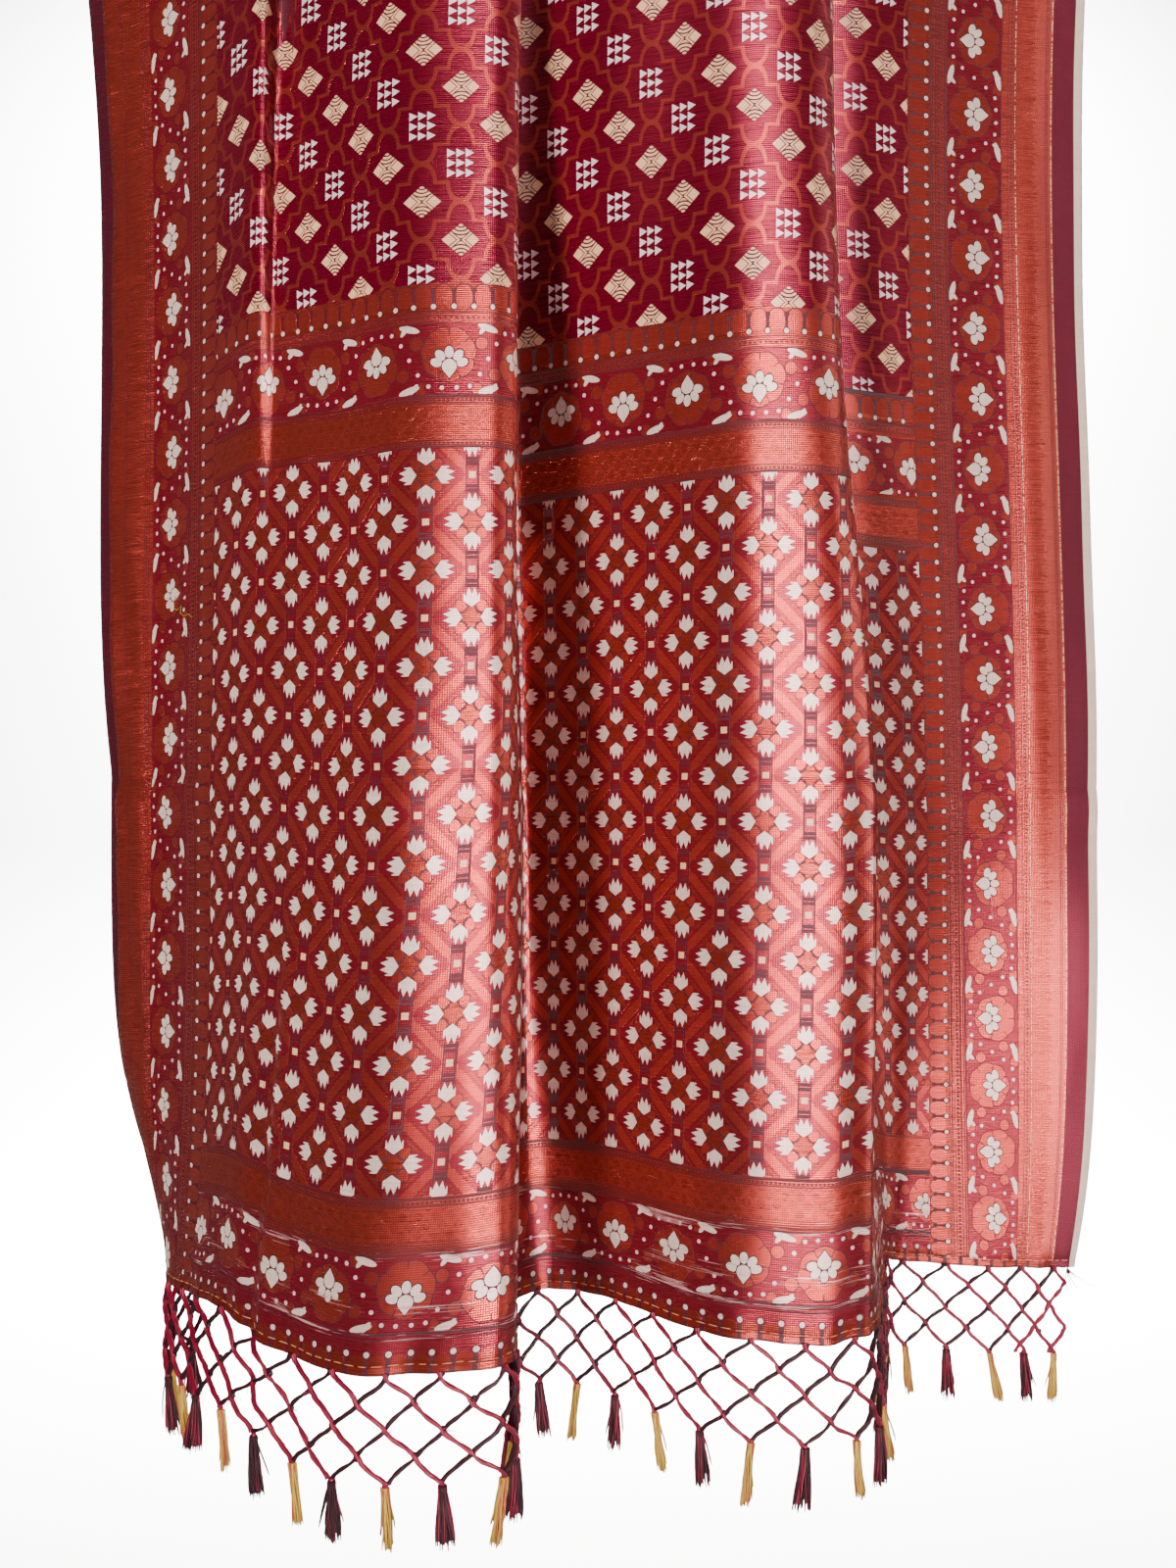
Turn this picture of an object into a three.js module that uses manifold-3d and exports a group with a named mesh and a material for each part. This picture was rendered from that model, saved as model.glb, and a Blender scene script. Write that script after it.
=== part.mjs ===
// A silk-and-cotton saree hung over a round wooden rod, in millimetres, +Z up.
//
// The saree is 5.6 m long and 1.15 m wide. It is folded in half across its
// length and the doubled cloth is hung over the rod, so it makes four drops:
// the decorated pallu end in front, one long back drop, the fold at the bottom
// of the back, and the plain end that comes up again and down in front,
// just behind the pallu. Two broad knife pleats take up the width.
//
// The frame: the rod lies along X with its middle at the origin, the pallu
// hangs on the -Y side, and the cloth is described by
//   u  the distance along the width, from the left selvedge (0) to the right
//   z  the height below the rod.

import * as THREE from 'three';
import { mergeVertices } from 'three/addons/utils/BufferGeometryUtils.js';
import Module from 'manifold-3d';

const wasm = await Module();
wasm.setup();

// ---------------------------------------------------------------- sizes

const CLOTH_WIDTH = 1150;
const FRONT_DROP = 1450;
const BACK_DROP = 1375;
const INNER_DROP = 1305;
const INNER_SHIFT = 18; // the inner end hangs this much further left

const WALL = 1.2; // one cloth
const DOUBLE_WALL = 3; // the two back drops that lie together
const INNER_OFFSET = 3; // from the pallu's cloth to the one behind it
const SEAM_GAP = 0.3;

const ROD_RADIUS = 14;
const ROD_LENGTH = 900;
const ROD_SIDES = 24;
const CROWN_RADIUS = 18.5; // middle of the outer cloth where it lies on the rod

const EDGE_GROOVE = 4; // how deep the parting between the doubled edges is
const FOLD_ROUND = 1.2; // how far the bottom fold bulges below its wall

const TOP_LEVEL = 560;
const MID_LEVEL = 1070;
const LATE_CURL = 3.5; // how suddenly the late folds curl above the hem

const STRIP_HEIGHT = 3;
const STRIP_THICKNESS = 3.2;
const NET_DROP = 66;
const NET_ROWS = 2; // whole diamonds between the hem and the tassels
const NET_PITCHES = 34; // spaces between the points where the strands leave the hem
const STRAND_RADIUS = 0.8;
const STRAND_ROOT = 1; // how far a strand's end is sunk into the strip
const STRAND_GAP = 0.5; // from a strand's end to its tassel
const STRAND_LAYER = 1.05; // each strand layer's distance from the middle of the strip

const TASSEL_HEAD_RADIUS = 3.1;
const TASSEL_HEAD_HEIGHT = 10;
const TASSEL_LENGTH = 43;
const TASSEL_LOCKS = 4;
const LOCK_RADIUS = 1.3;
const TASSEL_SPREAD = 4.6;
const HEAD_TOP = 0.75; // the head's width at its top, as a share of its full width
const LOCK_ROOT = 0.35; // how far out a lock starts, as a share of the head's width
const LOCK_TAPER = 0.45; // a lock's width at its root, as a share of its full width
const LOCK_UNEVENNESS = 3; // how much shorter the shortest lock is

// ---------------------------------------------------------------- folds

// One row for each upright line of the folded cloth, from the left selvedge.
// u is its place along the width. rod is where it lies on the rod, with its
// height above the lowest layer there. top, mid and hem are its places at
// those three heights of the front drop, drop is how much higher or lower
// than the rest the hem is there, and late is 1 where the cloth keeps its place
// at mid height almost to the hem and only curls at the very end.
const FOLDS = [
  // name              u   rod x lift  top x    y  mid x      y  hem x      y  drop  late
  ['left edge',         0,  -400,   0,  -372,   55,  -359,    55,  -300,    95,    2,    1],
  ['left border',      40,  -360,   0,  -343,   42,  -337,    42,  -314,    60,    4,    1],
  ['border inside',    79,  -321,   0,  -314,   30,  -312,    31,  -306,    24,    8,    1],
  ['a panel',         131,  -269,   0,  -266,  -10,  -264,   -20,  -282,    -4,   12,  0.8],
  ['a ridge',         165,  -235,   1,  -233,  -40,  -236,   -47,  -261,   -30,   17,  0.4],
  ['a/b ridge',       178,  -222,   2,  -223,  -43,  -224,   -58,  -252,   -40,   18,  0.2],
  ['a/b pinch',       190,  -210,   3,  -219,  -30,  -213,   -66,  -243,   -50,   18,    0],
  ['b left',          208,  -193,   6,  -204,  -37,  -196,   -80,  -230,   -62,   15,    0],
  ['b rise',          240,  -162,  14,  -174,  -50,  -168,   -98,  -200,   -84,    8,    0],
  ['b middle',        295,  -109,  23,  -124,  -66,  -120,  -118,  -149,  -105,  5.5,    0],
  ['b right',         349,   -55,  24,   -71,  -76,   -68,  -127,   -94,  -116,    9,    0],
  ['b edge front',    374,   -30,  24,   -48,  -70,   -47,  -122,   -67,  -122,   12,    0],
  ['b edge',          386,   -22,  18,   -44,  -58,   -42,  -112,   -52,  -121,   13,    0],
  ['b edge back',     398,   -30,  12,   -55,  -46,   -42,   -99,   -46,  -110,   12,    0],
  ['b return',        440,   -70,  12,   -93,  -36,   -46,   -60,   -47,   -75,    6,    0],
  ['b turn front',    470,   -98,  12,  -118,  -28,   -49,   -30,   -50,   -47,    2,    0],
  ['b turn',          480,  -106,   6,  -122,  -19,   -50,   -20,   -51,   -37,    2,    0],
  ['b turn back',     492,   -98,   0,  -110,  -13,   -51,    -8,   -52,   -26,    1,    0],
  ['c hidden',        540,   -50,   0,   -62,  -16,   -50,    32,   -50,    18,   -1,    0],
  ['c left',          567,   -23,   2,   -35,  -20,   -29,    22,   -28,    30,    1,    0],
  ['c valley',        621,    30,   8,    20,  -40,    21,   -10,    16,    10,    2,    0],
  ['c middle',        676,    83,  22,    73,  -51,    69,   -42,    62,   -23,    0,    0],
  ['c right',         730,   137,  24,   127,  -58,   121,   -63,   114,   -47,    0,    0],
  ['c edge front',    778,   184,  24,   167,  -52,   166,   -73,   160,   -62,   -1,    0],
  ['c edge',          792,   193,  18,   173,  -38,   180,   -69,   176,   -60,    2,    0],
  ['c edge back',     806,   184,  12,   162,  -26,   191,   -58,   190,   -52,    2,    0],
  ['c return',        845,   147,  12,   125,  -15,   174,   -26,   203,   -18,   -1,    0],
  ['c turn front',    875,   119,  12,    97,   -7,   158,     0,   211,    11,   -1,    0],
  ['c turn',          886,   111,   6,    91,    2,   153,    10,   214,    22,   -1,    0],
  ['c turn back',     898,   119,   0,   104,    8,   155,    22,   217,    34,    0,    0],
  ['d hidden',        945,   168,   0,   155,    4,   191,    46,   229,    78,    4,    0],
  ['d left',          984,   209,   0,   197,    6,   226,    57,   243,   108,   -7,    0],
  ['d middle',       1019,   246,   0,   236,   17,   260,    65,   274,   109,  -10,    0],
  ['d band',         1071,   300,   0,   291,   31,   311,    71,   323,   100,  -10,    0],
  ['right edge',     1150,   382,   0,   371,   42,   390,    75,   380,    96,   -9,  0.8],
].map(([, u, rodX, rodLift, topX, topY, midX, midY, hemX, hemY, drop, late]) => ({
  u,
  drop,
  late,
  lift: rodLift,
  x: [rodX, topX, midX, hemX],
  y: [-(CROWN_RADIUS + rodLift), topY, midY, hemY],
}));

const LEVELS = [0, TOP_LEVEL, MID_LEVEL, FRONT_DROP];
const TURNS = [[349, 398], [470, 492], [778, 806], [875, 898]]; // stretches with extra columns

// ---------------------------------------------------------------- curves

// A smooth curve through values given at rising places.
function smoothAt(places, values, at) {
  const last = places.length - 1;
  let k = 0;
  while (k < last - 1 && at > places[k + 1]) k += 1;
  const slope = (i) => {
    const before = Math.max(i - 1, 0);
    const after = Math.min(i + 1, last);
    return (values[after] - values[before]) / (places[after] - places[before]);
  };
  const span = places[k + 1] - places[k];
  const t = (at - places[k]) / span;
  if (t < 0) return values[0] + slope(0) * (at - places[0]);
  if (t > 1) return values[last] + slope(last) * (at - places[last]);
  const rise = values[k + 1] - values[k];
  const bend = slope(k) * span - rise;
  const unbend = rise - slope(k + 1) * span;
  return values[k] + rise * t + t * (1 - t) * (bend * (1 - t) + unbend * t);
}

const FOLD_PLACES = FOLDS.map((fold) => fold.u);

function alongWidth(u, valueOf) {
  return smoothAt(FOLD_PLACES, FOLDS.map(valueOf), u);
}

// ---------------------------------------------------------------- the cloth's middle surface

const QUARTER = Math.PI / 2;

// v runs down the cloth from the rod's crown: first a quarter turn of the rod, -1 to 0,
// and then the drop in millimetres.
function frontPoint(u, v) {
  if (v < 0) return crownPoint(u, -(1 + v) * QUARTER);
  const below = Math.max(v - MID_LEVEL, 0) / (FRONT_DROP - MID_LEVEL);
  const delay = (FRONT_DROP - MID_LEVEL) * (below - below ** LATE_CURL);
  const x = alongWidth(u, (fold) => smoothAt(LEVELS, fold.x, v - fold.late * delay));
  const y = alongWidth(u, (fold) => smoothAt(LEVELS, fold.y, v - fold.late * delay));
  const drop = alongWidth(u, (fold) => fold.drop) * (v / FRONT_DROP) ** 2;
  return new THREE.Vector3(x, y, -v + drop);
}

function crownPoint(u, angle) {
  const x = alongWidth(u, (fold) => fold.x[0]);
  const radius = CROWN_RADIUS + alongWidth(u, (fold) => fold.lift);
  return new THREE.Vector3(x, radius * Math.sin(angle), radius * Math.cos(angle));
}

// The back drop swings clear of the pleats in front and its own pleats open as they fall.
const BACK_SWING = 106;
const BACK_SKEW = 0.05;
const BACK_OPENING = 2.2;
const BACK_NARROWING = 0.1;
const BACK_SWING_POWER = 0.6; // how early the swing comes
const BACK_SKEW_START = CLOTH_WIDTH / 3; // how far left of the middle the skew begins
const SWAY = 5;
const SWAY_LENGTH = 55;
const SWAY_DRIFT = 2; // how far the sway's waves move along by the fold

function backPoint(u, v) {
  if (v < 0) return crownPoint(u, (1 + v) * QUARTER);
  const share = v / BACK_DROP;
  const x = alongWidth(u, (fold) => fold.x[0]);
  const lift = alongWidth(u, (fold) => fold.lift);
  const swing = (BACK_SWING + BACK_SKEW * (x + BACK_SKEW_START)) * share ** BACK_SWING_POWER;
  const opened = lift * (1 + BACK_OPENING * share);
  const sway = SWAY * share * Math.sin(x / SWAY_LENGTH + SWAY_DRIFT * share);
  const y = CROWN_RADIUS + opened + swing + sway;
  return new THREE.Vector3(x * (1 - BACK_NARROWING * share), y, -v);
}

const CROWN_STEP = 0.02; // steps for measuring slopes: as a share of the rod's quarter turn,
const DROP_STEP = 2; // and in millimetres on the drop

// The outward direction of a surface: away from the rod on both drops.
function outward(surface, u, v, facing) {
  const along = v < 0 ? CROWN_STEP : DROP_STEP;
  const across = surface(u + 1, v).sub(surface(u - 1, v));
  const down = surface(u, v + along).sub(surface(u, v - (v < 0 ? along : 0)));
  return down.cross(across).normalize().multiplyScalar(facing);
}

// ---------------------------------------------------------------- walls

function geometryOf(points, faces) {
  const geometry = new THREE.BufferGeometry();
  const values = points.flatMap((point) => [point.x, point.y, point.z]);
  geometry.setAttribute('position', new THREE.Float32BufferAttribute(values, 3));
  geometry.setIndex(faces.flat());
  return geometry;
}

// A closed wall through rings of points. outer and inner are grids of the same
// size, rows down and columns across. The four rims are closed through a line of
// middle points, which rim() may move out or in.
function wallGeometry(outer, inner, rim) {
  const rows = outer.length;
  const columns = outer[0].length;
  const points = [...outer.flat(), ...inner.flat()];
  const innerStart = rows * columns;
  const outerAt = (r, c) => r * columns + c;
  const innerAt = (r, c) => innerStart + r * columns + c;
  const faces = [];
  for (let r = 0; r < rows - 1; r += 1) {
    for (let c = 0; c < columns - 1; c += 1) {
      const corners = (at) => [at(r, c), at(r, c + 1), at(r + 1, c), at(r + 1, c + 1)];
      const [a, b, d, e] = corners(outerAt);
      const [f, g, h, i] = corners(innerAt);
      faces.push([a, d, e], [a, e, b], [f, i, h], [f, g, i]);
    }
  }
  const border = [];
  for (let c = 0; c < columns - 1; c += 1) border.push([0, c]);
  for (let r = 0; r < rows - 1; r += 1) border.push([r, columns - 1]);
  for (let c = columns - 1; c > 0; c -= 1) border.push([rows - 1, c]);
  for (let r = rows - 1; r > 0; r -= 1) border.push([r, 0]);
  const middle = border.map(([r, c]) => {
    const point = outer[r][c].clone().add(inner[r][c]).multiplyScalar(0.5);
    if (rim) rim(point, r, c);
    return points.push(point) - 1;
  });
  border.forEach(([r, c], k) => {
    const next = (k + 1) % border.length;
    const [nextRow, nextColumn] = border[next];
    const [outerHere, outerNext] = [outerAt(r, c), outerAt(nextRow, nextColumn)];
    const [innerHere, innerNext] = [innerAt(r, c), innerAt(nextRow, nextColumn)];
    faces.push([outerHere, outerNext, middle[next]], [outerHere, middle[next], middle[k]]);
    faces.push([middle[k], middle[next], innerNext], [middle[k], innerNext, innerHere]);
  });
  return geometryOf(points, faces);
}

// The wall of one stretch: the surface moved by offset, given its thickness.
function stretchGeometry({ surface, columns, rows, facing, offset, wall, rim }) {
  const layer = (shift) => rows.map((v) => columns.map((u) => {
    const normal = outward(surface, u, v, facing);
    return surface(u, v).addScaledVector(normal, offset + shift);
  }));
  const outer = layer(wall / 2);
  const inner = layer(-wall / 2);
  return facing > 0 ? wallGeometry(outer, inner, rim) : wallGeometry(inner, outer, rim);
}

function columnPlaces(shift = 0) {
  const places = [];
  FOLD_PLACES.forEach((u, k) => {
    places.push(u - (k === 0 ? shift : 0));
    const next = FOLD_PLACES[k + 1];
    const inTurn = TURNS.some(([from, to]) => u >= from && next <= to);
    if (inTurn) places.push((u + next) / 2);
  });
  if (shift) places[places.length - 1] = CLOTH_WIDTH - shift;
  return places;
}

const CROWN_ROWS = [-0.75, -0.5, -0.25];
const SEAM_ROW = -1 + SEAM_GAP / 2 / (CROWN_RADIUS * QUARTER); // half a seam from the crown

function dropRows(depths, end) {
  return [SEAM_ROW, ...CROWN_ROWS, ...depths, end];
}

// ---------------------------------------------------------------- fringe

const MERGE_DISTANCE = 1e-4;
const STRAND_SIDES = 3;

const solidOf = (geometry) => {
  geometry.deleteAttribute('normal');
  geometry.deleteAttribute('uv');
  const merged = mergeVertices(geometry, MERGE_DISTANCE);
  return new wasm.Manifold(new wasm.Mesh({
    numProp: 3,
    vertProperties: new Float32Array(merged.attributes.position.array),
    triVerts: new Uint32Array(merged.index.array),
  }));
};

const geometryFromSolid = (solid) => {
  const mesh = solid.getMesh();
  const geometry = new THREE.BufferGeometry();
  geometry.setAttribute('position', new THREE.BufferAttribute(mesh.vertProperties, 3));
  geometry.setIndex(new THREE.BufferAttribute(mesh.triVerts, 1));
  return geometry;
};

// A thin strand of STRAND_SIDES sides through the given points, closed at both ends.
function strandGeometry(path, radii) {
  const points = [];
  const faces = [];
  path.forEach((point, k) => {
    const before = path[Math.max(k - 1, 0)];
    const after = path[Math.min(k + 1, path.length - 1)];
    const along = after.clone().sub(before).normalize();
    const side = new THREE.Vector3(0, 1, 0).cross(along).normalize();
    const front = along.clone().cross(side).normalize();
    for (let j = 0; j < STRAND_SIDES; j += 1) {
      const turn = (j * 2 * Math.PI) / STRAND_SIDES;
      points.push(point.clone()
        .addScaledVector(side, radii[k] * Math.cos(turn))
        .addScaledVector(front, radii[k] * Math.sin(turn)));
    }
    if (k === 0) return;
    const ring = (k - 1) * STRAND_SIDES;
    for (let j = 0; j < STRAND_SIDES; j += 1) {
      const [a, b] = [ring + j, ring + ((j + 1) % STRAND_SIDES)];
      faces.push([a, b, b + STRAND_SIDES], [a, b + STRAND_SIDES, a + STRAND_SIDES]);
    }
  });
  const end = (path.length - 1) * STRAND_SIDES;
  faces.push([0, 2, 1], [end, end + 1, end + 2]);
  return geometryOf(points, faces);
}

const NET_PITCH = CLOTH_WIDTH / NET_PITCHES;
const NET_PLACES = Array.from({ length: NET_PITCHES }, (_, k) => (k + 0.5) * NET_PITCH);
const HEM_INSET = 4; // the outermost strands and tassels keep this far from the selvedges

const withinWidth = (u) => {
  const mirrored = Math.abs(u - HEM_INSET) + HEM_INSET;
  const far = CLOTH_WIDTH - HEM_INSET;
  return mirrored > far ? 2 * far - mirrored : mirrored;
};

const HEM_PLACES = columnPlaces();

// The point this far below the hem, on one side of the cloth or the other. Between the
// columns of the pallu's wall the hem runs straight, and what hangs from it follows.
function belowHem(u, drop, layer) {
  const k = Math.min(HEM_PLACES.findLastIndex((place) => place <= u), HEM_PLACES.length - 2);
  const [near, far] = [HEM_PLACES[k], HEM_PLACES[k + 1]].map((place) => {
    const normal = outward(frontPoint, place, FRONT_DROP, 1);
    normal.z = 0;
    return frontPoint(place, FRONT_DROP).addScaledVector(normal.normalize(), layer);
  });
  const share = (u - HEM_PLACES[k]) / (HEM_PLACES[k + 1] - HEM_PLACES[k]);
  return near.lerp(far, share).add(new THREE.Vector3(0, 0, -drop));
}

// The net: a strip under the hem, and two strands from each of its places that part and
// cross their neighbours, one layer in front of the other.
function netGeometry() {
  const stripBottom = SEAM_GAP + STRIP_HEIGHT;
  const stripSide = (layer) => [SEAM_GAP, stripBottom].map(
    (drop) => HEM_PLACES.map((u) => belowHem(u, drop, layer)));
  const strip = wallGeometry(stripSide(STRIP_THICKNESS / 2), stripSide(-STRIP_THICKNESS / 2));
  const solids = [solidOf(strip)];
  const strandTop = stripBottom - STRAND_ROOT;
  const strandDrop = NET_DROP - STRAND_GAP - strandTop;
  for (const start of NET_PLACES) {
    for (const way of [-1, 1]) {
      const path = [];
      for (let row = 0; row <= NET_ROWS; row += 1) {
        const u = withinWidth(start + way * row * NET_PITCH);
        path.push(belowHem(u, strandTop + (row / NET_ROWS) * strandDrop, way * STRAND_LAYER));
      }
      solids.push(solidOf(strandGeometry(path, path.map(() => STRAND_RADIUS))));
    }
  }
  return geometryFromSolid(wasm.Manifold.union(solids));
}

// A tassel hangs straight down from where two strands meet: a bound head and loose locks.
function tasselGeometry(u) {
  const root = belowHem(u, NET_DROP + SEAM_GAP, 0);
  const profile = [
    [0, 0],
    [TASSEL_HEAD_RADIUS * HEAD_TOP, 0],
    [TASSEL_HEAD_RADIUS, -TASSEL_HEAD_HEIGHT],
    [0, -TASSEL_HEAD_HEIGHT],
  ].reverse().map(([radius, height]) => new THREE.Vector2(radius, height));
  const head = new THREE.LatheGeometry(profile, TASSEL_LOCKS);
  head.rotateX(QUARTER);
  const solids = [solidOf(head)];
  for (let k = 0; k < TASSEL_LOCKS; k += 1) {
    const turn = ((k + 0.5) * 2 * Math.PI) / TASSEL_LOCKS;
    const reach = (radius, height) => new THREE.Vector3(
      radius * Math.cos(turn), radius * Math.sin(turn), height);
    const length = TASSEL_LENGTH - LOCK_UNEVENNESS * Math.abs(Math.sin(u + k));
    const path = [
      reach(TASSEL_HEAD_RADIUS * LOCK_ROOT, -TASSEL_HEAD_HEIGHT + STRAND_ROOT),
      reach(TASSEL_SPREAD, -length),
    ];
    solids.push(solidOf(strandGeometry(path, [LOCK_RADIUS * LOCK_TAPER, LOCK_RADIUS])));
  }
  const geometry = geometryFromSolid(wasm.Manifold.union(solids));
  geometry.translate(root.x, root.y, root.z);
  return geometry;
}

// ---------------------------------------------------------------- materials

const finish = (color, roughness, metalness = 0) => new THREE.MeshStandardMaterial({
  color, roughness, metalness, side: THREE.FrontSide,
});

const palluCloth = () => finish(0x8f2a33, 0.5, 0.25);
const bodyCloth = () => finish(0x7a1030, 0.55, 0.15);
const reverseCloth = () => finish(0x4a1524, 0.7);
const netYarn = () => finish(0x8a1836, 0.7);
const maroonYarn = () => finish(0x7a1030, 0.7);
const goldYarn = () => finish(0xc9a24a, 0.45, 0.4);
const beech = () => finish(0xc9a273, 0.55);

// ---------------------------------------------------------------- the part

const saree = new THREE.Group();

function addPiece(name, geometry, material) {
  const mesh = new THREE.Mesh(geometry, material);
  mesh.name = name;
  saree.add(mesh);
  return mesh;
}

const rodForm = new THREE.CylinderGeometry(ROD_RADIUS, ROD_RADIUS, ROD_LENGTH, ROD_SIDES);
const rod = addPiece('rod', rodForm, beech());
rod.rotation.z = QUARTER;

// The two cloths in front bend at the same heights, so they stay the same distance apart.
const SHARED_DEPTHS = [0, 60, 200, 380, TOP_LEVEL, 720, 890, MID_LEVEL, 1190];
const HEM_DEPTHS = [INNER_DROP, 1350, 1400];
const BACK_DEPTHS = [0, 80, 220, 420, 650, 900, 1150];

addPiece('pallu_front', stretchGeometry({
  surface: frontPoint,
  columns: columnPlaces(),
  rows: dropRows([...SHARED_DEPTHS, ...HEM_DEPTHS], FRONT_DROP),
  facing: 1,
  offset: 0,
  wall: WALL,
}), palluCloth());

addPiece('inner_front', stretchGeometry({
  surface: frontPoint,
  columns: columnPlaces(INNER_SHIFT),
  rows: dropRows(SHARED_DEPTHS, INNER_DROP),
  facing: 1,
  offset: -INNER_OFFSET,
  wall: WALL,
}), reverseCloth());

const backRows = dropRows(BACK_DEPTHS, BACK_DROP);
const lastColumn = HEM_PLACES.length - 1;

addPiece('back_double', stretchGeometry({
  surface: backPoint,
  columns: columnPlaces(),
  rows: backRows,
  facing: -1,
  offset: -INNER_OFFSET / 2,
  wall: DOUBLE_WALL,
  rim: (point, row, column) => {
    if (row > 0 && column === 0) point.x += EDGE_GROOVE;
    if (row > 0 && column === lastColumn) point.x -= EDGE_GROOVE;
    if (row === backRows.length - 1) point.z -= FOLD_ROUND;
  },
}), bodyCloth());

addPiece('fringe_net', netGeometry(), netYarn());

NET_PLACES.forEach((place, k) => {
  const number = String(k + 1).padStart(2, '0');
  addPiece(`tassel_${number}`, tasselGeometry(place), k % 2 ? goldYarn() : maroonYarn());
});

export default saree;
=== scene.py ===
"""The looks of a saree hung over a wooden rod: its brocade, folds, hem, net fringe and tassels.

The saree is maroon silk and cotton with copper metal thread. Its cloth is a flat grid, as it
comes off the loom, that is laid on the folded form of the frame. u is the distance along the
width from the left selvedge and h the height above the hem, both measured on the flat cloth.
"""

import math
import operator
import random
from functools import partialmethod, reduce

import bmesh
import bpy
import numpy as np
from mathutils import Matrix, Vector


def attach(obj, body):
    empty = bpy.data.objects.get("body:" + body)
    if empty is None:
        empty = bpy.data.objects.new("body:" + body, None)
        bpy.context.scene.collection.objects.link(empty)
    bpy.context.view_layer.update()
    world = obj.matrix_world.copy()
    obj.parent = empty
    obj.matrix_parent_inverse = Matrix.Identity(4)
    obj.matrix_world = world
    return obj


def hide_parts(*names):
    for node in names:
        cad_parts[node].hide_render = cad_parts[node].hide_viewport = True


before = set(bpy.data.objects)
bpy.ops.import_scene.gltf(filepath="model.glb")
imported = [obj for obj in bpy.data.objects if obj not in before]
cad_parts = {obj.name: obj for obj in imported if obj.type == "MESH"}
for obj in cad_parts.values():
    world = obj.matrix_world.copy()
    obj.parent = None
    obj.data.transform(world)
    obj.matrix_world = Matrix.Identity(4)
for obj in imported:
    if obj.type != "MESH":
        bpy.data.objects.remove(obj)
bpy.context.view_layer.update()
MM = 0.001


# ------------------------------------------------------------------ sizes, in millimetres

CLOTH_WIDTH = 1150.0
CREAM_SELVEDGE = 7.0
FRONT_DROP = 1450.0
BACK_DROP = 1375.0
INNER_DROP = 1305.0
INNER_SHIFT = 18.0
INNER_DEPTH = 3.4  # how far the inner cloth hangs behind the pallu
CROWN_RADIUS = 18.5
TOP_LEVEL = 560.0
MID_LEVEL = 1070.0
LATE_CURL = 3.5
CLOTH_THICKNESS = 0.7

ROD_RADIUS = 14.0
ROD_LENGTH = 900.0

# The side borders, inwards from each edge.
SELVEDGE_END = 17.0
DIAPER_END = 57.0
FLORAL_END = 101.0
GUARD_END = 113.0
BORDER_END = 131.0

# The cross bands, upwards from the hem.
HEM_END = 5.5
STEM_ROW_END = 25.5
LOW_FLORAL_END = 74.5
LOW_TRELLIS_END = 110.0
FIELD_END = 576.0
HIGH_TRELLIS_END = 611.0
HIGH_FLORAL_END = 660.0
HIGH_GUARD_END = 667.0
HIGH_PAISLEY_END = 687.0
CREASE_HEIGHT = 374.0  # where the folded stack was pressed

NET_DROP = 66.0
NET_POINTS = 34
NET_PITCH = CLOTH_WIDTH / NET_POINTS
NET_HALF_ROWS = 4
HEM_INSET = 4.0  # the net's strands turn back this far from both ends of the hem
TASSEL_LENGTH = 43.0

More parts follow.
